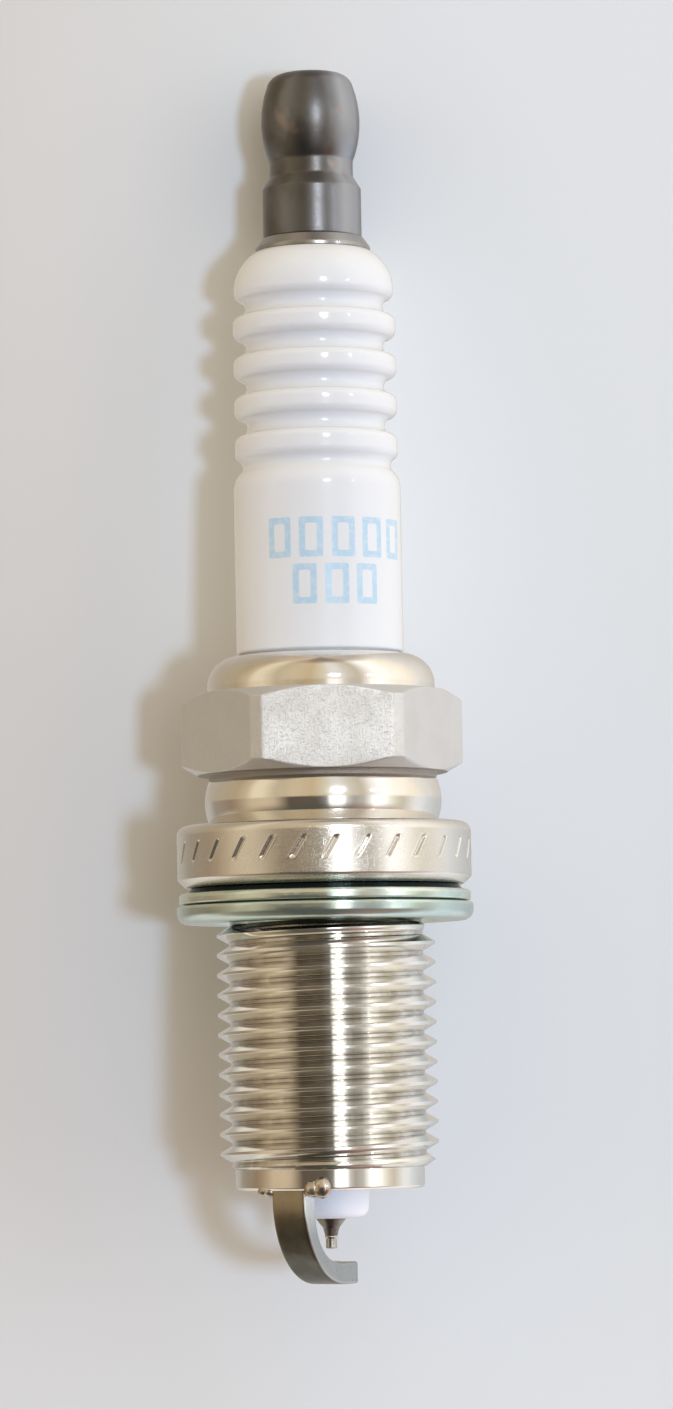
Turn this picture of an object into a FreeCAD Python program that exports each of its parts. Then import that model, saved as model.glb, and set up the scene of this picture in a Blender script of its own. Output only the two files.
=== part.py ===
import FreeCAD, Part

import os
import re

import Sketcher

# A resistor spark plug with an M14 x 1.25 thread, a 19 mm reach, a flat gasket seat and a 16 mm hexagon.
# Millimetres. The origin is the centre of the shell's gasket seat. +Z runs up the axis to the terminal,
# so the firing end points to -Z. One flat of the hexagon faces -Y.
# Radii are measured from the plug's axis and heights along it, unless a note says otherwise.

DIMENSIONS = {
    # shell, outside
    "flange_radius": (9.25, "gasket flange"),
    "flange_top": (3.9, "height of the flange's upper face"),
    "flange_round": (0.6, "rounding of the flange's upper edge"),
    "flange_chamfer": (0.5, "chamfer of the flange's lower edge"),
    "tick_depth": (0.15, "depth of the stamped ticks on the flange"),
    "tick_low": (1.55, "lower end of a tick"),
    "tick_high": (2.8, "upper end of a tick"),
    "tick_lean": (0.38, "sideways shift of each end of a tick"),
    "tick_half_width": (0.12, "half the stroke of a tick"),
    "caulk_low_radius": (7.3, "foot of the heat-caulked bulge"),
    "caulk_high_radius": (7.2, "neck of the bulge under the hexagon"),
    "caulk_arc": (6.0, "radius of the bulge's own curve"),
    "hex_low": (7.05, "lower face of the hexagon"),
    "hex_high": (12.15, "upper face of the hexagon"),
    "hex_flat": (7.85, "centre to flat, for a 16 mm spanner"),
    "hex_corner": (8.84, "turned radius across the corners"),
    "hex_chamfer": (0.6, "height of the turned chamfer at a corner"),
    "crimp_start": (12.3, "height where the crimped lip starts to curl on its inner side"),
    "lip_curl_start": (12.6, "height where it starts to curl on its outer side"),
    "crimp_outer": (7.15, "outer radius of the lip"),
    "lip_radius": (5.27, "radius of the lip's inner edge, just clear of the insulator"),
    "lip_outer_curl": (1.88, "radius of the lip's outer curl"),
    "lip_inner_curl": (1.03, "radius of the lip's inner curl"),
    # shell, thread and pilot
    "thread_crest": (6.87, "crest radius of the M14 thread"),
    "thread_root": (6.1, "root radius"),
    "thread_pitch": (1.25, "pitch"),
    "thread_top": (-2.95, "upper end of the full crest"),
    "thread_bottom": (-17.1, "lower end of the full crest"),
    "neck_radius": (6.05, "plain neck that the gasket slides on"),
    "neck_bottom": (-2.35, "lower end of the neck"),
    "pilot_radius": (5.95, "plain pilot below the thread"),
    "pilot_top": (-17.65, "upper end of the pilot"),
    "reach": (19.0, "gasket seat to shell end"),
    "end_break": (0.15, "broken edge of the shell end"),
    "groove_half_root": (0.1, "half the thread groove's width at the root"),
    "groove_half_crest": (0.576, "half the thread groove's width just above the crest"),
    "groove_over": (0.05, "how far the thread cutter stands proud of the crest"),
    "thread_cut_start": (-19.24, "centre of the thread cutter at its start, below the shell end"),
    "thread_cut_length": (17.5, "length of the thread cut along the axis"),
    # shell, inside
    "cavity_radius": (6.3, "packing cavity"),
    "cavity_bottom": (2.9, "where the cavity's floor cone starts"),
    "bore_radius": (4.8, "bore behind the thread"),
    "bore_shoulder": (1.4, "lower end of the cavity's floor cone"),
    "seat_top": (-7.2, "upper end of the washer seat's cone"),
    "seat_bottom": (-8.2, "lower end of the washer seat's cone"),
    "seat_radius": (3.8, "narrowest bore"),
    "ledge_bottom": (-9.4, "lower end of the narrow bore"),
    "pocket_top": (-10.1, "upper end of the gas pocket"),
    "pocket_radius": (4.5, "gas pocket around the nose"),
    # insulator
    "insulator_top": (39.87, "terminal end"),
    "insulator_cap_radius": (3.6, "flat top face"),
    "insulator_cap_low": (37.4, "lower end of the rounded shoulder"),
    "insulator_cap_arc": (2.86, "radius of the rounded shoulder's curve"),
    "head_radius": (5.02, "plain ring above the first groove"),
    "rib_radius": (5.12, "ribs between the grooves"),
    "rib_pitch": (2.495, "spacing of the grooves"),
    "first_groove": (36.35, "centre of the first groove"),
    "groove_arc": (0.55, "radius of the curve at a groove's bottom"),
    "rib_arc": (0.5, "radius of the curve at a rib's edge"),
    "groove_wall_radius": (4.739, "radius where the two curves of a groove meet"),
    "groove_wall": (0.534, "that meeting point, from the groove's centre"),
    "groove_edge": (1.02, "edge of the groove, from its centre"),
    "last_upper_radius": (4.901, "shallow last groove: where its upper curves meet"),
    "last_upper_wall": (0.455, "that meeting point, from the groove's centre"),
    "last_upper_edge": (0.869, "upper edge of the last groove, from its centre"),
    "last_lower_radius": (4.811, "where its lower curves meet"),
    "last_lower_wall": (0.379, "that meeting point, from the groove's centre"),
    "last_lower_edge": (1.48, "lower edge of the last groove, from its centre"),
    "barrel_arc": (1.6, "radius of the long curve from the last groove to the barrel"),
    "barrel_radius": (5.25, "plain printed barrel"),
    "barrel_bottom": (8.2, "lower end of the barrel, inside the shell"),
    "relief_radius": (5.05, "shallow relief in the barrel, level with the crimped lip"),
    "relief_bottom": (13.2, "its lower end"),
    "relief_top": (14.7, "its upper end"),
    "relief_slope": (0.2, "height of its sloping sides"),
    "shoulder_radius": (6.2, "insulator's largest radius"),
    "shoulder_top": (7.25, "upper end of the largest radius"),
    "shoulder_bottom": (3.1, "lower end of the largest radius"),
    "body_radius": (4.7, "insulator behind the thread"),
    "body_top": (1.6, "upper end of that stretch"),
    "body_bottom": (-6.9, "insulator's washer seat, outer edge"),
    "step_radius": (3.6, "insulator's washer seat, inner edge"),
    "step_bottom": (-8.0, "height of that edge"),
    "nose_start_radius": (3.45, "start of the nose"),
    "nose_start": (-8.3, "height of that start"),
    "nose_end_radius": (2.4, "end of the nose's taper"),
    "nose_tip": (-20.85, "tip of the nose"),
    "nose_round": (0.75, "rounding of the tip"),
    "upper_bore": (2.0, "bore for the stud and the seals"),
    "bore_step_top": (-3.9, "step for the centre electrode's head, outer edge"),
    "lower_bore": (1.15, "bore for the centre electrode"),
    "bore_step_bottom": (-4.75, "step's inner edge"),
    # terminal nut
    "nut_bottom": (40.7, "face that sits on the stud's flange"),
    "collar_radius": (3.1, "collar"),
    "collar_top": (43.8, "upper end of the collar"),
    "nut_neck_radius": (2.62, "neck"),
    "nut_neck_bottom": (44.55, "lower end of the neck"),
    "nut_neck_top": (45.55, "upper end of the neck"),
    "nut_head_start": (2.77, "radius where the head's curve starts"),
    "nut_head_low": (45.95, "height where the head's curve starts"),
    "nut_head_end": (2.72, "radius where the head's curve ends"),
    "nut_head_high": (50.2, "height where the head's curve ends"),
    "nut_head_arc": (6.6, "radius of the barrel-shaped head's curve"),
    "nut_dome_radius": (1.5, "flat of the dome"),
    "nut_dome_arc": (1.05, "radius of the dome's edge"),
    "nut_top": (51.0, "top of the plug"),
    "nut_bore": (2.05, "bore, just clear of the stud's thread crests"),
    "nut_bore_top": (48.9, "bottom of the blind bore"),
    # terminal stud
    "stud_flange_low_radius": (3.62, "flange on the insulator"),
    "stud_flange_high_radius": (3.2, "flange under the nut"),
    "stud_flange_edge": (40.12, "height of the flange's sharp edge"),
    "stud_shank": (1.85, "shank in the insulator"),
    "stud_bottom": (12.0, "lower end"),
    "stud_groove": (1.55, "radius in the gripping grooves"),
    "stud_groove_pitch": (0.7, "spacing of the gripping grooves"),
    "stud_groove_half": (0.18, "half a gripping groove's width"),
    "stud_groove_first": (12.5, "centre of the lowest gripping groove"),
    "stud_crest": (1.97, "crest radius of the M4 thread"),
    "stud_root": (1.54, "root radius"),
    "stud_pitch": (0.7, "pitch"),
    "stud_neck_top": (41.3, "plain neck over the flange"),
    "stud_top": (48.3, "upper end"),
    "stud_chamfer": (0.4, "chamfer of the upper end"),
    "stud_cutter_over": (0.03, "how far the thread cutter stands proud of the crest"),
    "stud_cutter_half_root": (0.06, "half the cutter's width at the root"),
    "stud_cutter_half_crest": (0.32, "half the cutter's width above the crest"),
    "stud_cut_start": (41.1, "centre of the thread cutter at its start"),
    "stud_cut_length": (7.7, "length of the thread cut along the axis"),
    # seals and resistor
    "upper_seal_top": (13.6, "conductive glass around the stud"),
    "resistor_top": (8.5, "upper end of the resistor fill"),
    "resistor_bottom": (2.0, "lower end of the resistor fill"),
    # centre electrode
    "boss_radius": (1.25, "boss in the lower seal"),
    "boss_top": (-1.8, "top of the boss"),
    "electrode_head_radius": (1.9, "head on the bore's step"),
    "electrode_head_top": (-2.8, "top of the head"),
    "electrode_head_bottom": (-4.0, "lower edge of the head's rim"),
    "stem_radius": (1.1, "stem"),
    "stem_shoulder": (-4.8, "upper end of the stem"),
    "cone_top": (-20.7, "start of the exposed cone"),
    "cone_tip_radius": (0.38, "end of the cone"),
    "cone_bottom": (-21.98, "height of that end"),
    "core_radius": (0.6, "copper core"),
    "core_bottom": (-18.0, "lower end of the copper core"),
    "bead_radius": (0.41, "weld bead of the fine wire"),
    "bead_bottom": (-22.14, "lower end of the bead"),
    "wire_radius": (0.35, "fine wire"),
    "wire_bottom": (-22.75, "sparking face of the fine wire"),
    # packing
    "washer_inner": (3.85, "packing washer, inner edge"),
    "washer_top_inner": (-7.75, "its upper face at the inner edge"),
    "washer_thick": (0.4, "its thickness along the axis"),
    "ring_centre": (5.775, "wire rings, circle of the wire's centre"),
    "ring_wire": (0.48, "wire rings, radius of the wire"),
    "lower_ring_height": (8.36, "lower wire ring"),
    "upper_ring_height": (12.5, "upper wire ring"),
    "talc_inner": (5.25, "packed powder, inner radius"),
    # gasket
    "gasket_crown": (-0.02, "raised inner face, just clear of the flange"),
    "gasket_crown_radius": (8.4, "outer edge of that face"),
    "gasket_step_radius": (8.8, "foot of the slope around it"),
    "gasket_top": (-0.35, "upper face outside the slope"),
    "gasket_bottom": (-2.25, "lower face, which meets the engine"),
    "gasket_upper_radius": (9.2, "edge of the upper fold"),
    "gasket_upper_round": (0.22, "rounding of that edge"),
    "gasket_seam_top": (-0.85, "seam between the folds, upper side"),
    "gasket_seam_bottom": (-0.95, "seam, lower side"),
    "gasket_seam_radius": (8.85, "bottom of the seam"),
    "gasket_radius": (9.35, "edge of the rolled lower fold"),
    "gasket_roll": (0.65, "radius of the roll"),
    "gasket_flat_inner": (7.15, "inner edge of the lower face"),
    "gasket_inner": (6.45, "bore, smaller than the thread's crest"),
    "gasket_inner_low": (-1.6, "lower end of the bore"),
    # ground electrode, where the first coordinate runs outward from the axis
    "strap_azimuth": (239.4, "direction of the strap's root from +X, degrees"),
    "strap_outer": (5.6, "outer face at the root"),
    "strap_inner": (4.15, "inner face at the root"),
    "strap_width": (2.35, "width"),
    "strap_bottom": (-25.0, "lower face, the lowest point of the plug"),
    "strap_bend_outer": (5.4, "outer bend radius"),
    "strap_bend_inner": (3.0, "inner bend radius"),
    "strap_inside": (-23.62, "face towards the fine wire"),
    "strap_end": (1.25, "how far the strap's end reaches past the axis"),
    "strap_end_round": (0.35, "rounding of the end's lower edge"),
    "strap_edge": (0.18, "rounding of the long edges"),
    "strap_core_width": (1.1, "copper core, width"),
    "strap_core_outer": (4.95, "copper core, outer bend radius"),
    "strap_core_inner": (4.55, "copper core, inner bend radius"),
    "pad_radius": (0.45, "precious-metal pad"),
    "pad_top": (-23.55, "its sparking face"),
    "pad_bottom": (-23.85, "its lower face, inside the strap"),
    # weld beads beside the strap's root
    "front_bead_out": (4.95, "bead on the strap's front side, distance from the axis"),
    "front_bead_side": (1.9, "its sideways place"),
    "front_bead_width": (0.9, "half its width"),
    "front_bead_height": (0.7, "half its height"),
    "front_bead_depth": (0.6, "half its depth"),
    "rear_bead_out": (5.1, "bead on the other side, distance from the axis"),
    "rear_bead_side": (1.45, "its sideways place"),
    "rear_bead_width": (0.55, "half its width"),
    "rear_bead_height": (0.5, "half its height"),
    "rear_bead_depth": (0.55, "half its depth"),
}

HEX_SIDES = 6
TICK_COUNT = 29
DEEP_GROOVES = 4
STUD_GROOVES = 4
FULL_TURN = 360
TOUCH = 1e-6

doc = FreeCAD.newDocument("spark_plug")
sheet = doc.addObject("Spreadsheet::Sheet", "Dimensions")
for row, (alias, (number, note)) in enumerate(DIMENSIONS.items(), start=1):
    sheet.set(f"A{row}", note)
    sheet.set(f"B{row}", str(number))
    sheet.setAlias(f"B{row}", alias)
doc.recompute()


def size(formula):
    """Add up a formula of sheet words and numbers, such as 'reach - end_break'."""
    total = 0.0
    for sign, word in re.findall(r"([+-]?)\s*([\w.]+)", formula):
        number = DIMENSIONS[word][0] if word in DIMENSIONS else float(word)
        total += -number if sign == "-" else number
    return total


def bound(formula):
    """The same formula, with each sheet word as a reference to its cell."""
    return re.sub(r"[a-z]\w+", lambda word: f"Dimensions.{word.group(0)}", formula)


def origin_plane(body, role):
    """The body's own origin plane or axis with this role."""
    return next(feature for feature in body.Origin.OriginFeatures if feature.Role == role)


def new_body(label):
    """An empty body whose label is the name of its node."""
    body = doc.addObject("PartDesign::Body", f"body_{label}")
    body.Label = label
    return body


def new_sketch(body, name, role="XZ_Plane"):
    """An empty sketch flat on one of the body's origin planes."""
    sketch = body.newObject("Sketcher::SketchObject", name)
    sketch.AttachmentSupport = [(origin_plane(body, role), "")]
    sketch.MapMode = "FlatFace"
    return sketch


def pin_point(sketch, edge, end, formulas):
    """Hold one end of an edge at two formulas, measured from the sketch's origin."""
    for kind, axis, formula in (("DistanceX", -2, formulas[0]), ("DistanceY", -1, formulas[1])):
        if formula == "0":
            sketch.addConstraint(Sketcher.Constraint("PointOnObject", edge, end, axis))
            continue
        place = Sketcher.Constraint(kind, -1, 1, edge, end, size(formula))
        index = sketch.addConstraint(place)
        sketch.setExpression(f"Constraints[{index}]", bound(formula))


def arc_between(start, end, radius, turn):
    """The shorter arc from start to end, turning left (1) or right (-1), always drawn anticlockwise."""
    chord = end - start
    height = (radius**2 - (chord.Length / 2) ** 2) ** 0.5
    left = FreeCAD.Vector(-chord.y, chord.x, 0) / chord.Length
    centre = (start + end) / 2 + left * height * turn
    first, last = (start, end) if turn > 0 else (end, start)
    sense = FreeCAD.Vector(0, 0, 1)
    circle = Part.Circle(centre, sense, radius)
    return Part.ArcOfCircle(circle, circle.parameter(first), circle.parameter(last))


def outline(sketch, corners):
    """Draw a closed outline through corners (across, up) or (across, up, radius, turn).

    The last two say that the edge that leaves the corner is an arc of that radius,
    which turns left (1) or right (-1).
    """
    ends = []
    for index, corner in enumerate(corners):
        following = corners[(index + 1) % len(corners)]
        start = FreeCAD.Vector(size(corner[0]), size(corner[1]), 0)
        end = FreeCAD.Vector(size(following[0]), size(following[1]), 0)
        if len(corner) == 2:
            edge = sketch.addGeometry(Part.LineSegment(start, end), False)
            ends.append((edge, 1, 2))
            continue
        radius, turn = corner[2:]
        edge = sketch.addGeometry(arc_between(start, end, size(radius), turn), False)
        ends.append((edge, 1, 2) if turn > 0 else (edge, 2, 1))
        held = sketch.addConstraint(Sketcher.Constraint("Radius", edge, size(radius)))
        sketch.setExpression(f"Constraints[{held}]", bound(radius))
    for index, (edge, start, end) in enumerate(ends):
        next_edge, next_start, _ = ends[(index + 1) % len(ends)]
        sketch.addConstraint(Sketcher.Constraint("Coincident", edge, end, next_edge, next_start))
        pin_point(sketch, edge, start, corners[index][:2])


def volume(shape_owner):
    """The volume of an object's shape as it is now."""
    doc.recompute()
    return shape_owner.Shape.Volume


def check_removed(label, before, feature):
    """Stop if a cutting feature took nothing away."""
    after = volume(feature)
    if not after < before:
        raise RuntimeError(f"{label} cut nothing")


def revolved(label, corners):
    """A body turned from an outline of (radius, height) corners."""
    body = new_body(label)
    sketch = new_sketch(body, f"{label}_profile")
    outline(sketch, corners)
    turned = body.newObject("PartDesign::Revolution", f"{label}_turned")
    turned.Profile = sketch
    turned.ReferenceAxis = (sketch, ["V_Axis"])
    turned.Angle = FULL_TURN
    sketch.Visibility = False
    return body


def padded(label, corners, width):
    """A body of this width, centred on the XZ plane, from an outline."""
    body = new_body(label)
    sketch = new_sketch(body, f"{label}_profile")
    outline(sketch, corners)
    pad = body.newObject("PartDesign::Pad", f"{label}_pad")
    pad.Profile = sketch
    pad.SideType = "Symmetric"
    pad.setExpression("Length", bound(width))
    return body


def cut_thread(body, name, corners, pitch, length):
    """Cut a right-hand helical groove of this outline, upward from where the outline is drawn."""
    before = volume(body)
    sketch = new_sketch(body, f"{name}_cutter")
    outline(sketch, corners)
    helix = body.newObject("PartDesign::SubtractiveHelix", name)
    helix.Profile = sketch
    helix.ReferenceAxis = (sketch, ["V_Axis"])
    helix.Mode = 0
    helix.setExpression("Pitch", bound(pitch))
    helix.setExpression("Height", bound(length))
    body.Tip = helix
    check_removed(name, before, helix)


def repeated(word, count, sign="+"):
    """A formula's ending that adds a sheet word this many times, or takes it away."""
    return f" {sign} {word}" * count


def hexagon_ring(sketch):
    """The ring between a hexagon with a flat facing -Y and a circle that clears its corners."""
    across = size("hex_flat")
    half_side = across / 3**0.5
    turn = FreeCAD.Rotation(FreeCAD.Vector(0, 0, 1), FULL_TURN / HEX_SIDES)
    start = FreeCAD.Vector(-half_side, -across, 0)
    upright = FreeCAD.Vector(0, 0, 1)
    centre = FreeCAD.Vector(0, 0, 0)
    inscribed = sketch.addGeometry(Part.Circle(centre, upright, across), True)
    around = sketch.addGeometry(Part.Circle(centre, upright, size("hex_corner + 1")), False)
    for circle, formula in ((inscribed, "hex_flat"), (around, "hex_corner + 1")):
        sketch.addConstraint(Sketcher.Constraint("Coincident", circle, 3, -1, 1))
        held = sketch.addConstraint(Sketcher.Constraint("Radius", circle, size(formula)))
        sketch.setExpression(f"Constraints[{held}]", bound(formula))
    sides = []
    for _ in range(HEX_SIDES):
        end = turn.multVec(start)
        sides.append(sketch.addGeometry(Part.LineSegment(start, end), False))
        start = end
    for index, side in enumerate(sides):
        following = sides[(index + 1) % HEX_SIDES]
        sketch.addConstraint(Sketcher.Constraint("Coincident", side, 2, following, 1))
        sketch.addConstraint(Sketcher.Constraint("Tangent", side, inscribed))
    for side in sides[1:-1]:
        sketch.addConstraint(Sketcher.Constraint("Equal", sides[0], side))
    sketch.addConstraint(Sketcher.Constraint("Horizontal", sides[0]))


def cut_pocket(body, name, sketch, length, outward):
    """Cut a sketch's outline into the body, along the sketch's normal if outward."""
    before = volume(body)
    pocket = body.newObject("PartDesign::Pocket", name)
    pocket.Profile = sketch
    pocket.setExpression("Length", bound(length))
    pocket.Reversed = outward
    body.Tip = pocket
    check_removed(name, before, pocket)
    return pocket


def make_shell():
    """The steel shell: turned outside and inside, with a hexagon, stamped ticks and a rolled thread."""
    body = revolved(
        "shell",
        [
            ("lip_radius", "lip_curl_start + lip_outer_curl"),
            ("lip_radius", "crimp_start + lip_inner_curl", "lip_inner_curl", -1),
            ("cavity_radius", "crimp_start"),
            ("cavity_radius", "cavity_bottom"),
            ("bore_radius", "bore_shoulder"),
            ("bore_radius", "seat_top"),
            ("seat_radius", "seat_bottom"),
            ("seat_radius", "ledge_bottom"),
            ("pocket_radius", "pocket_top"),
            ("pocket_radius", "0 - reach"),
            ("pilot_radius - end_break", "0 - reach"),
            ("pilot_radius", "end_break - reach"),
            ("pilot_radius", "pilot_top"),
            ("thread_root", "pilot_top"),
            ("thread_crest", "thread_bottom"),
            ("thread_crest", "thread_top"),
            ("neck_radius", "neck_bottom"),
            ("neck_radius", "0"),
            ("flange_radius - flange_chamfer", "0"),
            ("flange_radius", "flange_chamfer"),
            ("flange_radius", "flange_top - flange_round", "flange_round", 1),
            ("flange_radius - flange_round", "flange_top"),
            ("caulk_low_radius", "flange_top", "caulk_arc", 1),
            ("caulk_high_radius", "hex_low"),
            ("hex_flat", "hex_low"),
            ("hex_corner", "hex_low + hex_chamfer"),
            ("hex_corner", "hex_high - hex_chamfer"),
            ("hex_flat", "hex_high"),
            ("crimp_outer", "hex_high"),
            ("crimp_outer", "lip_curl_start", "lip_outer_curl", 1),
        ],
    )
    ring = new_sketch(body, "hexagon", "XY_Plane")
    ring.setExpression("AttachmentOffset.Base.z", bound("hex_low"))
    hexagon_ring(ring)
    cut_pocket(body, "hexagon_cut", ring, "hex_high - hex_low", True)

    tick = new_sketch(body, "tick")
    tick.setExpression("AttachmentOffset.Base.z", bound("flange_radius - tick_depth"))
    outline(
        tick,
        [
            ("0 - tick_lean - tick_half_width", "tick_low"),
            ("tick_half_width - tick_lean", "tick_low"),
            ("tick_lean + tick_half_width", "tick_high"),
            ("tick_lean - tick_half_width", "tick_high"),
        ],
    )
    stamped = cut_pocket(body, "tick_cut", tick, "flange_round", True)
    before = volume(body)
    ticks = body.newObject("PartDesign::PolarPattern", "ticks")
    ticks.Originals = [stamped]
    ticks.Axis = (origin_plane(body, "Z_Axis"), [""])
    ticks.Angle = FULL_TURN
    ticks.Occurrences = TICK_COUNT
    body.Tip = ticks
    check_removed("ticks", before, ticks)

    cutter_top = "thread_crest + groove_over"
    cut_thread(
        body,
        "thread",
        [
            ("thread_root", "thread_cut_start - groove_half_root"),
            (cutter_top, "thread_cut_start - groove_half_crest"),
            (cutter_top, "thread_cut_start + groove_half_crest"),
            ("thread_root", "thread_cut_start + groove_half_root"),
        ],
        "thread_pitch",
        "thread_cut_length",
    )
    return body


def groove_outline(groove, last):
    """The corners and curves of one insulator groove, from its lower edge up to its upper wall."""
    centre = "first_groove" + repeated("rib_pitch", groove, "-")
    if last:
        return [
            ("barrel_radius", f"{centre} - last_lower_edge", "barrel_arc", 1),
            ("last_lower_radius", f"{centre} - last_lower_wall", "groove_arc", -1),
            ("last_upper_radius", f"{centre} + last_upper_wall", "rib_arc", 1),
            ("rib_radius", f"{centre} + last_upper_edge"),
        ]
    above = "rib_radius" if groove else "head_radius"
    return [
        ("rib_radius", f"{centre} - groove_edge", "rib_arc", 1),
        ("groove_wall_radius", f"{centre} - groove_wall", "groove_arc", -1),
        ("groove_wall_radius", f"{centre} + groove_wall", "rib_arc", 1),
        (above, f"{centre} + groove_edge"),
    ]


def make_insulator():
    """The glazed alumina insulator, with its stepped bore."""
    grooves = groove_outline(DEEP_GROOVES, True)
    for groove in reversed(range(DEEP_GROOVES)):
        grooves += groove_outline(groove, False)
    return revolved(
        "insulator",
        [
            ("upper_bore", "insulator_top"),
            ("upper_bore", "bore_step_top"),
            ("lower_bore", "bore_step_bottom"),
            ("lower_bore", "nose_tip"),
            ("nose_end_radius - nose_round", "nose_tip", "nose_round", 1),
            ("nose_end_radius", "nose_tip + nose_round"),
            ("nose_start_radius", "nose_start"),
            ("step_radius", "step_bottom"),
            ("body_radius", "body_bottom"),
            ("body_radius", "body_top"),
            ("shoulder_radius", "shoulder_bottom"),
            ("shoulder_radius", "shoulder_top"),
            ("barrel_radius", "barrel_bottom"),
            ("barrel_radius", "relief_bottom"),
            ("relief_radius", "relief_bottom + relief_slope"),
            ("relief_radius", "relief_top - relief_slope"),
            ("barrel_radius", "relief_top"),
            *grooves,
            ("head_radius", "insulator_cap_low", "insulator_cap_arc", 1),
            ("insulator_cap_radius", "insulator_top"),
        ],
    )


def make_terminal_nut():
    """The screw-on terminal, bored just clear of the stud's thread."""
    return revolved(
        "terminal_nut",
        [
            ("0", "nut_top"),
            ("0", "nut_bore_top"),
            ("nut_bore", "nut_bore_top"),
            ("nut_bore", "nut_bottom"),
            ("collar_radius", "nut_bottom"),
            ("collar_radius", "collar_top"),
            ("nut_neck_radius", "nut_neck_bottom"),
            ("nut_neck_radius", "nut_neck_top"),
            ("nut_head_start", "nut_head_low", "nut_head_arc", 1),
            ("nut_head_end", "nut_head_high", "nut_dome_arc", 1),
            ("nut_dome_radius", "nut_top"),
        ],
    )


def make_terminal_stud():
    """The stud: M4 thread, flange on the insulator and a shank with gripping grooves in the glass."""
    grip = []
    for groove in range(STUD_GROOVES):
        centre = "stud_groove_first" + repeated("stud_groove_pitch", groove)
        low = f"{centre} - stud_groove_half"
        high = f"{centre} + stud_groove_half"
        grip += [("stud_shank", low), ("stud_groove", low), ("stud_groove", high), ("stud_shank", high)]
    body = revolved(
        "terminal_stud",
        [
            ("0", "stud_top"),
            ("0", "stud_bottom"),
            ("stud_shank", "stud_bottom"),
            *grip,
            ("stud_shank", "insulator_top"),
            ("stud_flange_low_radius", "insulator_top"),
            ("stud_flange_low_radius", "stud_flange_edge"),
            ("stud_flange_high_radius", "nut_bottom"),
            ("stud_root", "nut_bottom"),
            ("stud_root", "stud_neck_top"),
            ("stud_crest", "stud_neck_top + stud_chamfer"),
            ("stud_crest", "stud_top - stud_chamfer"),
            ("stud_crest - stud_chamfer", "stud_top"),
        ],
    )
    cutter_top = "stud_crest + stud_cutter_over"
    cut_thread(
        body,
        "stud_thread",
        [
            ("stud_root", "stud_cut_start - stud_cutter_half_root"),
            (cutter_top, "stud_cut_start - stud_cutter_half_crest"),
            (cutter_top, "stud_cut_start + stud_cutter_half_crest"),
            ("stud_root", "stud_cut_start + stud_cutter_half_root"),
        ],
        "stud_pitch",
        "stud_cut_length",
    )
    return body


def column(name, radius, bottom, top):
    """A plain cylinder on the plug's axis."""
    cylinder = doc.addObject("Part::Cylinder", name)
    cylinder.setExpression("Radius", bound(radius))
    cylinder.setExpression("Height", f"{bound(top)} - ({bound(bottom)})")
    cylinder.setExpression("Placement.Base.z", bound(bottom))
    return cylinder


def cut_by(label, base, tool):
    """What is left of one object when another is taken out of it."""
    cut = doc.addObject("Part::Cut", f"cut_{label}")
    cut.Label = label
    cut.Base = base
    cut.Tool = tool
    check_removed(label, volume(base), cut)
    return cut


def make_glass_seal_upper(stud):
    """Conductive glass that fills the bore around the stud's grooved end."""
    glass = column("upper_glass", "upper_bore", "resistor_top", "upper_seal_top")
    return cut_by("glass_seal_upper", glass, stud)


def make_resistor():
    """The suppressor fill between the two seals."""
    fill = column("resistor_fill", "upper_bore", "resistor_bottom", "resistor_top")
    fill.Label = "resistor"
    return fill


def make_glass_seal_lower(electrode, core):
    """Conductive glass on the centre electrode's head, around its boss and core."""
    glass = column("lower_glass", "upper_bore", "electrode_head_top", "resistor_bottom")
    return cut_by("glass_seal_lower", cut_by("glass_above_head", glass, electrode), core)


def make_centre_electrode():
    """The nickel-alloy electrode: boss, head, stem and exposed cone, bored for its copper core."""
    return revolved(
        "centre_electrode",
        [
            ("core_radius", "boss_top"),
            ("core_radius", "core_bottom"),
            ("0", "core_bottom"),
            ("0", "cone_bottom"),
            ("cone_tip_radius", "cone_bottom"),
            ("stem_radius", "cone_top"),
            ("stem_radius", "stem_shoulder"),
            ("electrode_head_radius", "electrode_head_bottom"),
            ("electrode_head_radius", "electrode_head_top"),
            ("boss_radius", "electrode_head_top"),
            ("boss_radius", "boss_top"),
        ],
    )


def make_centre_core():
    """The copper core of the centre electrode."""
    core = column("centre_copper", "core_radius", "core_bottom", "boss_top")
    core.Label = "centre_core"
    return core


def make_tip_weld():
    """The weld bead that joins the fine wire to the cone."""
    return revolved(
        "tip_weld",
        [
            ("0", "cone_bottom"),
            ("0", "bead_bottom"),
            ("wire_radius", "bead_bottom", "bead_radius", 1),
            ("cone_tip_radius", "cone_bottom"),
        ],
    )


def make_iridium_tip():
    """The fine wire at the spark gap."""
    wire = column("fine_wire", "wire_radius", "wire_bottom", "bead_bottom")
    wire.Label = "iridium_tip"
    return wire


def make_packing_washer():
    """The steel washer that seals the insulator's step on the shell's seat; both its faces are cones."""
    return revolved(
        "packing_washer",
        [
            ("washer_inner", "washer_top_inner"),
            ("washer_inner", "washer_top_inner - washer_thick"),
            ("body_radius", "body_bottom - washer_thick"),
            ("body_radius", "body_bottom"),
        ],
    )


def make_wire_ring(label, height):
    """One of the two wire rings that hold the packed powder."""
    ring = doc.addObject("Part::Torus", f"torus_{label}")
    ring.Label = label
    ring.setExpression("Radius1", bound("ring_centre"))
    ring.setExpression("Radius2", bound("ring_wire"))
    ring.setExpression("Placement.Base.z", bound(height))
    return ring


def make_talc_filling():
    """The packed powder between the wire rings."""
    return revolved(
        "talc_filling",
        [
            ("talc_inner", "upper_ring_height - ring_wire"),
            ("talc_inner", "lower_ring_height + ring_wire"),
            ("cavity_radius", "lower_ring_height + ring_wire"),
            ("cavity_radius", "upper_ring_height - ring_wire"),
        ],
    )


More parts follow.
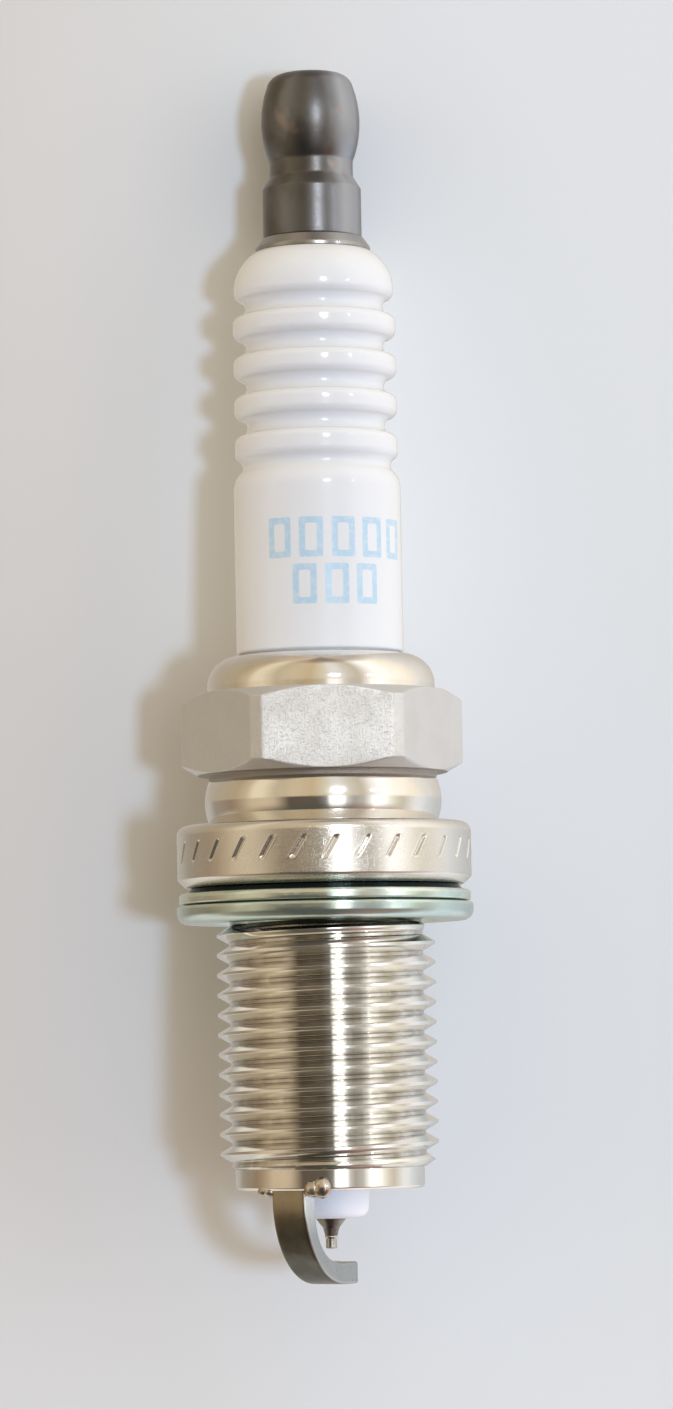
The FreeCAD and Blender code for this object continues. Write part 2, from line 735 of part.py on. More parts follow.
def make_gasket():
    """The folded ring of sheet steel: a crowned upper fold, a seam, and a rolled lower fold."""
    return revolved(
        "gasket",
        [
            ("gasket_inner", "gasket_crown"),
            ("gasket_inner", "gasket_inner_low"),
            ("gasket_flat_inner", "gasket_bottom"),
            ("gasket_radius - gasket_roll", "gasket_bottom", "gasket_roll", 1),
            ("gasket_radius", "gasket_bottom + gasket_roll"),
            ("gasket_radius", "gasket_seam_bottom"),
            ("gasket_seam_radius", "gasket_seam_bottom"),
            ("gasket_seam_radius", "gasket_seam_top"),
            ("gasket_upper_radius", "gasket_seam_top"),
            ("gasket_upper_radius", "gasket_top - gasket_upper_round", "gasket_upper_round", 1),
            ("gasket_upper_radius - gasket_upper_round", "gasket_top"),
            ("gasket_step_radius", "gasket_top"),
            ("gasket_crown_radius", "gasket_crown"),
        ],
    )


def turn_to_strap(piece):
    """Turn a piece about the plug's axis, from +X to the strap's direction."""
    upright = FreeCAD.Vector(0, 0, 1)
    turn = FreeCAD.Rotation(upright, size("strap_azimuth"))
    piece.Placement = FreeCAD.Placement(turn.multVec(piece.Placement.Base), turn)


CORE_BEND_CENTRE = "strap_outer - strap_bend_outer"
CORE_OUTLINE = [
    (f"{CORE_BEND_CENTRE} + strap_core_inner", "0 - reach"),
    (f"{CORE_BEND_CENTRE} + strap_core_inner", "strap_bottom + strap_bend_outer", "strap_core_inner", -1),
    (CORE_BEND_CENTRE, "strap_bottom + strap_bend_outer - strap_core_inner"),
    (CORE_BEND_CENTRE, "strap_bottom + strap_bend_outer - strap_core_outer", "strap_core_outer", 1),
    (f"{CORE_BEND_CENTRE} + strap_core_outer", "strap_bottom + strap_bend_outer"),
    (f"{CORE_BEND_CENTRE} + strap_core_outer", "0 - reach"),
]


def make_ground_electrode():
    """The strap, bent under the fine wire, with a bore for its core and a seat for its pad."""
    body = padded(
        "ground_electrode",
        [
            ("strap_inner", "0 - reach"),
            ("strap_inner", "strap_inside + strap_bend_inner", "strap_bend_inner", -1),
            ("strap_inner - strap_bend_inner", "strap_inside"),
            ("0 - strap_end", "strap_inside"),
            ("0 - strap_end", "strap_bottom + strap_end_round", "strap_end_round", 1),
            ("strap_end_round - strap_end", "strap_bottom"),
            (CORE_BEND_CENTRE, "strap_bottom", "strap_bend_outer", 1),
            ("strap_outer", "strap_bottom + strap_bend_outer"),
            ("strap_outer", "0 - reach"),
        ],
        "strap_width",
    )
    before = volume(body)
    bent = body.Tip
    root = size("0 - reach")
    end_edge_height = size("strap_inside")
    rounded = []
    for number, edge in enumerate(body.Shape.Edges, start=1):
        places = [vertex.Point for vertex in edge.Vertexes]
        runs_along = abs(places[0].y - places[-1].y) < TOUCH
        at_root = all(abs(place.z - root) < TOUCH for place in places)
        across_end = all(place.x < 0 and abs(place.z - end_edge_height) < TOUCH for place in places)
        if across_end or (runs_along and not at_root):
            rounded.append(f"Edge{number}")
    rounding = body.newObject("PartDesign::Fillet", "strap_edges")
    rounding.Base = (bent, rounded)
    rounding.setExpression("Radius", bound("strap_edge"))
    body.Tip = rounding
    check_removed("strap_edges", before, rounding)

    before = volume(body)
    core = new_sketch(body, "strap_core_space")
    outline(core, CORE_OUTLINE)
    space = body.newObject("PartDesign::Pocket", "core_space")
    space.Profile = core
    space.SideType = "Symmetric"
    space.setExpression("Length", bound("strap_core_width"))
    body.Tip = space
    check_removed("core_space", before, space)

    seat = new_sketch(body, "pad_seat", "XY_Plane")
    seat.setExpression("AttachmentOffset.Base.z", bound("pad_bottom"))
    ring = Part.Circle(FreeCAD.Vector(0, 0, 0), FreeCAD.Vector(0, 0, 1), size("pad_radius"))
    seat.addGeometry(ring, False)
    seat.addConstraint(Sketcher.Constraint("Coincident", 0, 3, -1, 1))
    held = seat.addConstraint(Sketcher.Constraint("Radius", 0, size("pad_radius")))
    seat.setExpression(f"Constraints[{held}]", bound("pad_radius"))
    cut_pocket(body, "pad_seat_cut", seat, "pad_radius", True)
    turn_to_strap(body)
    return body


def make_ground_core():
    """The copper core inside the strap."""
    body = padded("ground_core", CORE_OUTLINE, "strap_core_width")
    turn_to_strap(body)
    return body


def make_ground_pad():
    """The precious-metal pad that faces the fine wire."""
    pad = column("sparking_pad", "pad_radius", "pad_bottom", "pad_top")
    pad.Label = "ground_pad"
    return pad


def make_ground_weld(shell, strap):
    """Two beads squeezed out beside the strap's root, below the shell's end face."""
    beads = []
    for name, side_sign in (("front", 1), ("rear", -1)):
        bead = doc.addObject("Part::Ellipsoid", f"{name}_bead")
        bead.setExpression("Radius1", bound(f"{name}_bead_height"))
        bead.setExpression("Radius2", bound(f"{name}_bead_depth"))
        bead.setExpression("Radius3", bound(f"{name}_bead_width"))
        sideways = side_sign * size(f"{name}_bead_side")
        bead.Placement.Base = FreeCAD.Vector(size(f"{name}_bead_out"), sideways, size("0 - reach"))
        turn_to_strap(bead)
        beads.append(bead)
    pair = doc.addObject("Part::MultiFuse", "bead_pair")
    pair.Shapes = beads
    below_shell = cut_by("beads_below_shell", pair, shell)
    return cut_by("ground_weld", below_shell, strap)


def write_parts(pieces):
    """Check every object of the document, then write each piece to its own file."""
    doc.recompute()
    for made in doc.Objects:
        if "Invalid" in made.State or "Error" in made.State:
            raise RuntimeError(f"{made.Label} failed: {made.State}")
    for piece in pieces:
        if piece.Shape.isNull() or not piece.Shape.isValid():
            raise RuntimeError(f"{piece.Label} has no valid shape")
    os.makedirs("parts", exist_ok=True)
    for piece in pieces:
        piece.Shape.exportStep(f"parts/{piece.Label}.step")


shell = make_shell()
terminal_stud = make_terminal_stud()
centre_electrode = make_centre_electrode()
centre_core = make_centre_core()
ground_electrode = make_ground_electrode()
write_parts(
    [
        shell,
        make_insulator(),
        make_terminal_nut(),
        terminal_stud,
        make_glass_seal_upper(terminal_stud),
        make_resistor(),
        make_glass_seal_lower(centre_electrode, centre_core),
        centre_electrode,
        centre_core,
        make_tip_weld(),
        make_iridium_tip(),
        make_packing_washer(),
        make_wire_ring("packing_ring_lower", "lower_ring_height"),
        make_talc_filling(),
        make_wire_ring("packing_ring_upper", "upper_ring_height"),
        make_gasket(),
        ground_electrode,
        make_ground_core(),
        make_ground_pad(),
        make_ground_weld(shell, ground_electrode),
    ]
)
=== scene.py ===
import math
from collections import namedtuple

import bmesh
import bpy
import numpy as np
from mathutils import Matrix, Vector, noise


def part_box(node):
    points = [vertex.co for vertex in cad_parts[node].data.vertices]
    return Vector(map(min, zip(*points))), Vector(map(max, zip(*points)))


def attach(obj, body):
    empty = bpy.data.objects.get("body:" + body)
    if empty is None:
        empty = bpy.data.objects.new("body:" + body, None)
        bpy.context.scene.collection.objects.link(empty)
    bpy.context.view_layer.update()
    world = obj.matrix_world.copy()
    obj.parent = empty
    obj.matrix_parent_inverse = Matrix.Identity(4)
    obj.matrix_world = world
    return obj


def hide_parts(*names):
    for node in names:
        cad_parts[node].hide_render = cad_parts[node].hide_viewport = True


# The looks of a spark plug around its CAD frame. Outlines are in millimetres as (radius, height)
# on the plug's axis, the same sizes that the CAD uses; meshes are built in metres.

MM = 0.001
TURN = 2 * math.pi
QUARTER = math.radians(90)

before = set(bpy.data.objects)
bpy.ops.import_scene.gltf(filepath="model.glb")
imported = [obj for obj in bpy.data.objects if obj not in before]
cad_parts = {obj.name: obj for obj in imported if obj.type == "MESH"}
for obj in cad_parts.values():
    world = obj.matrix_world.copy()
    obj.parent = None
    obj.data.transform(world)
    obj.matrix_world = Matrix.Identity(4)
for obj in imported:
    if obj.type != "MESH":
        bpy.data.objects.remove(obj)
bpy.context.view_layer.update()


def node_span(name):
    """Lowest and highest corner of a CAD node, in millimetres."""
    low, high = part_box(name)
    return Vector(low) / MM, Vector(high) / MM


# ---- sizes read from the frame
SHELL_LOW, SHELL_HIGH = node_span("shell")
INSULATOR_LOW, INSULATOR_HIGH = node_span("insulator")
NUT_LOW, NUT_HIGH = node_span("terminal_nut")
GASKET_LOW, GASKET_HIGH = node_span("gasket")
STRAP_LOW = node_span("ground_electrode")[0]
WIRE_LOW = node_span("iridium_tip")[0]
STUD_LOW, STUD_HIGH = node_span("terminal_stud")

SHELL_END = SHELL_LOW.z
FLANGE_RADIUS = SHELL_HIGH.x
INSULATOR_TOP = INSULATOR_HIGH.z
INSULATOR_TIP = INSULATOR_LOW.z
NUT_FOOT = NUT_LOW.z
PLUG_TOP = NUT_HIGH.z
PLUG_BOTTOM = STRAP_LOW.z
STRAP_AZIMUTH = math.radians(239.4)


# ---- outlines
LEFT = 1
RIGHT = -1
ARC_STEP = 0.07
FEWEST_ARC_PARTS = 4
SHARP = math.radians(16)
ROUND_PARTS = 4
SUPPORT_ROOM = 2.2
SUPPORT_REACH = 1.15
EDGE_SHARE = 0.45
SAME_SPOT = 1e-6


def arc_between(start, end, radius, turn):
    """Points between two corners, on an arc that turns LEFT or RIGHT."""
    chord = end - start
    half = chord.length / 2
    rise = math.sqrt(max(radius**2 - half**2, 0.0))
    left = Vector((-chord.y, chord.x)) / chord.length
    centre = (start + end) / 2 + left * rise * turn
    sweep = turn * 2 * math.asin(min(half / radius, 1.0))
    count = max(FEWEST_ARC_PARTS, math.ceil(abs(sweep) * radius / ARC_STEP))
    spoke = start - centre
    return [centre + Matrix.Rotation(sweep * part / count, 2) @ spoke for part in range(1, count)]


def traced(corners):
    """Points along a closed outline of (radius, height) corners.

    A corner (radius, height, arc radius, turn) starts an arc.
    """
    points = []
    for index, corner in enumerate(corners):
        start = Vector(corner[:2])
        points.append(start)
        if len(corner) > 2:
            end = Vector(corners[(index + 1) % len(corners)][:2])
            points += arc_between(start, end, *corner[2:])
    return points


def rounding(start, corner, end):
    """Points of the curve that rounds a corner."""
    points = []
    for part in range(ROUND_PARTS + 1):
        share = part / ROUND_PARTS
        points.append(start.lerp(corner, share).lerp(corner.lerp(end, share), share))
    return points


def eased(points, ease):
    """The outline with each sharp corner rounded, and a supporting point beside each rounding."""
    result = []
    for index, point in enumerate(points):
        before = points[index - 1] - point
        after = points[(index + 1) % len(points)] - point
        doubled = min(before.length, after.length) < SAME_SPOT
        if doubled or math.pi - before.angle(after) < SHARP:
            result.append(point)
            continue
        step_in = before.normalized() * min(ease, before.length * EDGE_SHARE)
        step_out = after.normalized() * min(ease, after.length * EDGE_SHARE)
        if before.length > step_in.length * SUPPORT_ROOM:
            result.append(point + step_in * SUPPORT_REACH)
        result += rounding(point + step_in, point, point + step_out)
        if after.length > step_out.length * SUPPORT_ROOM:
            result.append(point + step_out * SUPPORT_REACH)
    return result


def divided(points, longest):
    """The outline with no stretch longer than this."""
    result = []
    for index, start in enumerate(points):
        end = points[(index + 1) % len(points)]
        count = max(1, math.ceil((end - start).length / longest))
        result += [start.lerp(end, part / count) for part in range(count)]
    return result


# ---- meshes
MERGE_DISTANCE = 2e-7
NO_LENGTH = 1e-8


def placed(name, data):
    """A new object with this data, in the scene."""
    made = bpy.data.objects.new(name, data)
    bpy.context.scene.collection.objects.link(made)
    return made


def smoothed(name, mesh):
    """A new object of this mesh, shaded smooth."""
    mesh.polygons.foreach_set("use_smooth", [True] * len(mesh.polygons))
    return placed(name, mesh)


def piece(name, vertices, faces):
    """A new smooth object from vertices in metres, with doubled points merged."""
    mesh = bpy.data.meshes.new(name)
    mesh.from_pydata(vertices, [], faces)
    mesh.validate()
    work = bmesh.new()
    work.from_mesh(mesh)
    bmesh.ops.remove_doubles(work, verts=work.verts, dist=MERGE_DISTANCE)
    bmesh.ops.dissolve_degenerate(work, edges=work.edges, dist=NO_LENGTH)
    bmesh.ops.recalc_face_normals(work, faces=work.faces)
    work.to_mesh(mesh)
    work.free()
    return smoothed(name, mesh)


def grid_faces(rows, columns, closed_rows):
    """Quads between rows of points that run round the axis."""
    faces = []
    for row in range(rows if closed_rows else rows - 1):
        here = row * columns
        above = (row + 1) % rows * columns
        for column in range(columns):
            beside = (column + 1) % columns
            faces.append((here + column, here + beside, above + beside, above + column))
    return faces


def even_angles(around):
    """Angles all round, evenly spaced from +X."""
    return np.arange(around) * (TURN / around)


def on_circle(radius, angles, height):
    """Points at these radii, angles and heights."""
    return np.stack([radius * np.cos(angles), radius * np.sin(angles), height], axis=-1)


def turned(name, corners, ease, longest, around=0, angles=None, shape=None):
    """A closed outline turned about the axis, at this many even angles or at the given ones.

    shape(angle, radius, height) may change the radius.
    """
    if angles is None:
        angles = even_angles(around)
    outline = np.array([tuple(point) for point in divided(eased(traced(corners), ease), longest)])
    radius = np.repeat(outline[:, :1], len(angles), axis=1)
    height = np.repeat(outline[:, 1:], len(angles), axis=1)
    angle = np.repeat(angles[None, :], len(outline), axis=0)
    if shape:
        radius = shape(angle, radius, height)
    vertices = (on_circle(radius, angle, height).reshape(-1, 3) * MM).tolist()
    return piece(name, vertices, grid_faces(len(outline), len(angles), True))


def smooth_least(first, second, soft):
    """The smaller of two values, with a rounded change-over."""
    first, second = np.broadcast_arrays(first, second)
    gap = np.clip(0.5 + (second - first) / (2 * soft), 0, 1)
    return second * (1 - gap) + first * gap - soft * gap * (1 - gap)


def smooth_step(low, high, value):
    """0 below low, 1 above high, and a smooth rise between."""
    share = np.clip((value - low) / (high - low), 0, 1)
    return share * share * (3 - 2 * share)


# ---- threads
# half_root and half_crest are the distances from the groove's middle, along the axis, to where the
# flank starts and ends. groove is the height of the groove's middle at +X.
Thread = namedtuple("Thread", "bore root crest half_root half_crest pitch groove")
FLANK_EDGE = 0.012
ROW_DIGITS = 5


def thread_rows(form, low, high):
    """Heights at +X of the rows that run along the helix, and how many of them make one pitch."""
    edge = form.pitch * FLANK_EDGE
    marks = []
    for corner in (form.half_root, form.half_crest):
        marks += [corner - edge, corner, corner + edge]
    marks = [0] + marks + [form.pitch - mark for mark in marks]
    offsets = sorted({round(mark, ROW_DIGITS) for mark in marks})
    first_turn = math.floor((low - form.pitch - form.groove) / form.pitch) - 1
    last_turn = math.ceil((high - form.groove) / form.pitch) + 1
    rows = []
    for turn in range(first_turn, last_turn):
        rows += [form.groove + turn * form.pitch + offset for offset in offsets]
    return np.array(rows), len(offsets)


def thread_surface(form, envelope, rows, angles):
    """Points of the rows. Each climbs one pitch a turn, and stays inside the envelope."""
    climb = form.pitch * angles[None, :] / TURN
    height = rows[:, None] + climb
    half = form.pitch / 2
    aside = np.abs((height - climb - form.groove + half) % form.pitch - half)
    height = np.clip(height, envelope[0][1], envelope[-1][1])
    wall = np.interp(height, [spot[1] for spot in envelope], [spot[0] for spot in envelope])
    slope = np.clip((aside - form.half_root) / (form.half_crest - form.half_root), 0, 1)
    radius = np.minimum(form.root + (form.crest - form.root) * slope, wall)
    return on_circle(radius, angles, height)


def thread_faces(rows, per_turn, around):
    """Quads between the rows, where each row's last point joins the row one pitch above."""
    faces = []
    for row in range(rows - 1):
        here = row * around
        for column in range(around - 1):
            corner = here + column
            faces.append((corner, corner + 1, corner + around + 1, corner + around))
        if row + per_turn + 1 < rows:
            across = (row + per_turn) * around
            corner = here + around - 1
            faces.append((corner, across, across + around, corner + around))
    return faces


def bore_faces(rows, around):
    """Quads of the plain bore, and of the two ends that join it to the first and the last row."""
    top_row = (rows - 1) * around
    upper = rows * around
    lower = upper + around
    faces = []
    for column in range(around):
        beside = (column + 1) % around
        faces.append((top_row + column, top_row + beside, upper + beside, upper + column))
        faces.append((upper + column, upper + beside, lower + beside, lower + column))
        faces.append((lower + column, lower + beside, beside, column))
    return faces


def threaded(name, form, envelope, around):
    """A tube with a right-hand helical groove. envelope is (radius, height) from the bottom up."""
    low = envelope[0][1]
    high = envelope[-1][1]
    rows, per_turn = thread_rows(form, low, high)
    angles = even_angles(around)
    spots = [thread_surface(form, envelope, rows, angles).reshape(-1, 3)]
    for level in (high, low):
        spots.append(on_circle(form.bore, angles, np.full(around, level)))
    faces = thread_faces(len(rows), per_turn, around) + bore_faces(len(rows), around)
    return piece(name, (np.concatenate(spots) * MM).tolist(), faces)


# ---- finishes
class Wiring:
    """A node tree while it is being wired."""

    def __init__(self, tree):
        self.tree = tree

    def put(self, socket, value):
        """Link a socket to an output, or set it to a number or a colour."""
        if isinstance(value, bpy.types.NodeSocket):
            self.tree.links.new(value, socket)
        elif value is not None:
            socket.default_value = value

    def add(self, kind, inputs=(), **settings):
        """A new node with these settings and (input, value) pairs."""
        made = self.tree.nodes.new(kind)
        for key, value in settings.items():
            setattr(made, key, value)
        for key, value in inputs:
            self.put(made.inputs[key], value)
        return made

    def math(self, operation, *values):
        return self.add("ShaderNodeMath", enumerate(values), operation=operation).outputs[0]

    def gain(self, value, factor, base):
        """The value times the factor, added to the base."""
        return self.math("MULTIPLY_ADD", value, factor, base)

    def span(self, value, low, high, to_low=0.0, to_high=1.0):
        """A smooth change from to_low, where the value is at low, to to_high at high."""
        ends = [("From Min", low), ("From Max", high), ("To Min", to_low), ("To Max", to_high)]
        made = self.add("ShaderNodeMapRange", [("Value", value)] + ends, interpolation_type="SMOOTHSTEP")
        return made.outputs["Result"]

    def blend(self, share, low, high):
        """The low colour where the share is 0, the high one where it is 1."""
        made = self.add("ShaderNodeMix", [("Factor", share)], data_type="RGBA")
        colours = [socket for socket in made.inputs if socket.type == "RGBA"]
        for socket, value in zip(colours, (low, high)):
            self.put(socket, value if isinstance(value, bpy.types.NodeSocket) else (*value, 1.0))
        return next(socket for socket in made.outputs if socket.type == "RGBA")

    def tint(self, tone, share, amount, colour):
        """The tone, moved towards a colour by the share times this amount."""
        return self.blend(self.math("MULTIPLY", share, amount), tone, colour)

    def mixed(self, share, first, second):
        """The first shader where the share is 0, the second where it is 1."""
        return self.add("ShaderNodeMixShader", enumerate((share, first, second))).outputs[0]


NOISE_ROUGHNESS = 0.55


class Finish(Wiring):
    """A procedural material while it is being wired, in the object's own millimetres."""

    def __init__(self, name):
        self.material = bpy.data.materials.new(name)
        self.material.use_nodes = True
        super().__init__(self.material.node_tree)
        self.surface = self.tree.nodes["Principled BSDF"]
        place = self.add("ShaderNodeTexCoord").outputs["Object"]
        self.place = self.vector("SCALE", place)
        self.place.node.inputs["Scale"].default_value = 1 / MM
        split = self.add("ShaderNodeSeparateXYZ", [(0, self.place)])
        self.across, self.deep, self.height = split.outputs
        self.radius = self.vector("LENGTH", self.vector("MULTIPLY", self.place, (1, 1, 0)))
        self.angle = self.math("ARCTAN2", self.deep, self.across)

    def vector(self, operation, *values):
        made = self.add("ShaderNodeVectorMath", enumerate(values), operation=operation)
        return made.outputs["Value" if operation in ("LENGTH", "DOT_PRODUCT") else "Vector"]

    def noise(self, scale, detail=3.0, stretch=(1, 1, 1), distort=0.0, offset=0.0):
        """Cloudy noise from 0 to 1. Each offset gives another pattern."""
        spot = self.vector("MULTIPLY", self.place, stretch)
        if offset:
            spot = self.vector("ADD", spot, (offset, offset * 0.7, -offset))
        inputs = [("Vector", spot), ("Scale", scale), ("Detail", detail)]
        inputs += [("Roughness", NOISE_ROUGHNESS), ("Distortion", distort)]
        return self.add("ShaderNodeTexNoise", inputs).outputs["Fac"]

    def patches(self, scale, detail, start, full, **settings):
        """Patches of noise: 0 where it is below start, 1 where it is above full."""
        return self.span(self.noise(scale, detail, **settings), start, full)

    def facing(self, azimuth, edge, core):
        """1 within the core angle of this azimuth, 0 beyond the edge angle."""
        aside = self.math("ABSOLUTE", self.math("SUBTRACT", self.angle, azimuth))
        return self.span(aside, edge, core)

    def bump(self, height, depth, onto=None):
        """A normal for relief this many millimetres deep, on top of another normal."""
        inputs = [("Strength", 1.0), ("Distance", depth * MM), ("Height", height), ("Normal", onto)]
        return self.add("ShaderNodeBump", inputs).outputs["Normal"]

    def finish(self, colour, roughness, metal=0.0, normal=None, **others):
        inputs = {"Base_Color": colour, "Roughness": roughness, "Metallic": metal, "Normal": normal}
        for key, value in (inputs | others).items():
            self.put(self.surface.inputs[key.replace("_", " ")], value)
        return self.material


# Brown of the painted shade in the thread roots and under the hexagon.
SHADE_BROWN = (0.22, 0.18, 0.13)


def root_shade(look):
    """Painted shade in the bottom of the thread groove, in patches."""
    patchy = look.span(look.noise(0.8, 4, offset=9.0), 0.3, 0.6, 0.2, 0.5)
    return look.math("MULTIPLY", look.span(look.radius, 6.26, 6.13), patchy)


def ledge_shade(look):
    """Painted shade on the underside of the hexagon."""
    return look.span(look.height, 7.09, 7.05, 0.0, 0.6)


def scratched(look, rough, depth, normal):
    """Fine scratches along and across: the roughness and the normal with them."""
    lines = look.patches(2.6, 2, 0.6, 0.67, stretch=(1.2, 1.2, 16), distort=0.4, offset=2.0)
    cross = look.patches(2.2, 2, 0.62, 0.68, stretch=(11, 11, 1.1), distort=0.6, offset=7.0)
    marks = look.math("MAXIMUM", lines, cross)
    return look.gain(marks, 0.09, rough), look.bump(marks, -depth, normal)


def drawn_strokes(look, rough, depth, normal):
    """Upright strokes of the drawing die: the roughness and the normal with them."""
    upright = look.noise(3.2, 3, stretch=(4.5, 4.5, 0.35), offset=12.0)
    return look.gain(upright, 0.12, rough), look.bump(upright, depth, normal)


def plated(name, colour, dark, roughness, rings, scratch=0.0, strokes=0.0, painted_shade=None):
    """Nickel-like plating: cloudy colour, turning rings, scratches, upright strokes and painted shade.

    The last argument is a function that takes the look and returns how much painted shade each spot gets.
    """
    look = Finish(name)
    clouds = look.patches(0.45, 4, 0.35, 0.7)
    specks = look.patches(9.0, 3, 0.64, 0.76, offset=5.0)
    tone = look.tint(colour, clouds, 0.3, dark)
    tone = look.tint(tone, specks, 0.22, dark)
    rough = look.gain(clouds, 0.07, roughness)
    rough = look.gain(specks, 0.12, rough)
    # Painted shade, where a shade function is given.
    if painted_shade:
        tone = look.blend(painted_shade(look), tone, SHADE_BROWN)
    normal = look.bump(look.noise(3.0, 2, stretch=(0.05, 0.05, 9.0)), rings)
    if scratch:
        rough, normal = scratched(look, rough, scratch, normal)
    if strokes:
        rough, normal = drawn_strokes(look, rough, strokes, normal)
    grain = look.noise(22.0, 2, offset=3.0)
    return look.finish(tone, rough, 1.0, look.bump(grain, rings * 0.8, normal))


GLAZE_WHITE = (0.775, 0.78, 0.775)
GLAZE_SHADE = (0.75, 0.755, 0.75)
BARE_WHITE = (0.95, 0.95, 0.96)
PRINT_BLUE = (0.27, 0.56, 0.76)
SPECK_BROWN = (0.55, 0.5, 0.44)
BARE_FROM = 1.0
BARE_BELOW = -1.0


def glaze_finish():
    """Glossy white glaze on alumina, bare and matte at the nose, with a generic pale-blue print."""
    look = Finish("glazed_alumina")
    clouds = look.noise(0.25, 3)
    tone = look.blend(clouds, GLAZE_WHITE, GLAZE_SHADE)
    tone = look.tint(tone, look.patches(5.0, 2, 0.735, 0.77, offset=11.0), 0.25, SPECK_BROWN)
    bare = look.span(look.height, BARE_FROM, BARE_BELOW)
    tone = look.blend(bare, tone, BARE_WHITE)
    mark = print_mask(look)
    tone = look.blend(mark, tone, PRINT_BLUE)
    rough = look.gain(clouds, 0.05, 0.07)
    rough = look.gain(bare, 0.5, rough)
    rough = look.gain(mark, 0.2, rough)
    peel = look.bump(look.noise(1.1, 2, offset=4.0), 0.012)
    return look.finish(
        tone, rough, 0.0, peel,
        Subsurface_Weight=0.25, Subsurface_Radius=(1.0, 0.8, 0.6), Subsurface_Scale=0.0006,
    )


PRINT_AZIMUTH = math.radians(-72)
PRINT_ROWS = ((21.5, -5.4, 5), (18.6, -3.8, 3))
BLOCK_PITCH = 2.05
BLOCK_HALF_WIDTH = 0.56
BLOCK_HALF_HEIGHT = 1.05
BLOCK_CORNER = 0.25
STROKE_CORE = 0.15
STROKE_EDGE = 0.24


def print_mask(look):
    """Rows of plain outlined blocks on the barrel, worn in places, where a type code would be.

    A row is its middle's height, its start along the barrel and its number of blocks.
    """
    turned_by = look.math("SUBTRACT", look.angle, PRINT_AZIMUTH)
    along = look.math("MULTIPLY", turned_by, BARREL_RADIUS)
    total = 0.0
    for height, start, count in PRINT_ROWS:
        cell = look.math("DIVIDE", look.math("SUBTRACT", along, start), BLOCK_PITCH)
        after_start = look.math("GREATER_THAN", cell, 0.0)
        inside = look.math("MULTIPLY", after_start, look.math("LESS_THAN", cell, count))
        local = look.math("SUBTRACT", look.math("FRACT", cell), 0.5)
        local = look.math("ABSOLUTE", look.math("MULTIPLY", local, BLOCK_PITCH))
        upright = look.math("ABSOLUTE", look.math("SUBTRACT", look.height, height))
        beside = look.math("SUBTRACT", local, BLOCK_HALF_WIDTH)
        above = look.math("SUBTRACT", upright, BLOCK_HALF_HEIGHT)
        outline = look.math("ABSOLUTE", look.math("SMOOTH_MAX", beside, above, BLOCK_CORNER))
        stroke = look.span(outline, STROKE_CORE, STROKE_EDGE, 1.0, 0.0)
        total = look.math("MAXIMUM", total, look.math("MULTIPLY", stroke, inside))
    worn = look.span(look.noise(3.5, 3, offset=13.0), 0.3, 0.6, 0.35, 0.6)
    return look.math("MULTIPLY", total, worn)


def gasket_finish():
    """Zinc plating with a blue-green passivated film and faint yellow patches, deepened to a darker blue
    low down as a painted reflection of the thread, with painted shade in the seam and on the top under the
    flange.
    """
    green, pale = (0.60, 0.72, 0.68), (0.74, 0.80, 0.73)
    yellow, reflection_blue, gap_shade = (0.74, 0.66, 0.42), (0.34, 0.47, 0.48), (0.1, 0.13, 0.13)
    look = Finish("zinc_passivated")
    tone = look.blend(look.patches(0.35, 3, 0.35, 0.65, stretch=(1, 1, 3)), green, pale)
    tone = look.tint(tone, look.patches(0.3, 2, 0.52, 0.7, offset=6.0), 0.5, yellow)
    # The film's blue, deepened towards the bottom as a painted reflection of the dark thread.
    tone = look.tint(tone, look.span(look.height, -0.9, -1.5), 0.4, reflection_blue)
    # Painted shade in the seam between the folds and on the top face under the flange.
    shaded_gap = look.span(look.radius, 9.02, 8.88)
    tone = look.tint(tone, shaded_gap, look.span(look.height, -2.0, -1.6), gap_shade)
    rough = look.gain(look.noise(1.2, 3, offset=8.0), 0.12, 0.10)
    rings = look.bump(look.noise(2.4, 2, stretch=(0.06, 0.06, 8)), 0.001)
    return look.finish(tone, rough, 0.95, look.bump(look.noise(0.5, 2, offset=3.0), 0.03, rings))


# Azimuths from +X, in radians, of the nut's painted shade (facing -Y) and of its painted bluish highlight.
SHADED_SIDE = -1.6
HIGHLIGHT_SIDE = -0.68


def dark_steel_finish():
    """Dark plated steel of the terminal nut: brownish clouds, painted shade on the side facing -Y and a
    painted bluish highlight beside it towards +X.
    """
    steel, brown, shade_dark = (0.185, 0.185, 0.197), (0.14, 0.13, 0.122), (0.075, 0.07, 0.065)
    highlight_blue, tan = (0.40, 0.42, 0.47), (0.34, 0.27, 0.24)
    look = Finish("terminal_steel")
    tone = look.blend(look.patches(0.28, 3, 0.4, 0.62, offset=2.0), steel, brown)
    # Painted shade on one side and a painted bluish highlight on another.
    tone = look.tint(tone, look.facing(SHADED_SIDE, 0.45, 0.15), 0.45, shade_dark)
    tone = look.tint(tone, look.facing(HIGHLIGHT_SIDE, 0.5, 0.15), 0.8, highlight_blue)
    tone = look.tint(tone, look.patches(0.45, 2, 0.6, 0.72, offset=21.0), 0.5, tan)
    rough = look.gain(look.noise(2.2, 4, offset=5.0), 0.16, 0.24)
    rings = look.bump(look.noise(4.0, 2, stretch=(0.05, 0.05, 8)), 0.004)
    return look.finish(tone, rough, 0.95, look.bump(look.noise(16.0, 2), 0.0022, rings))


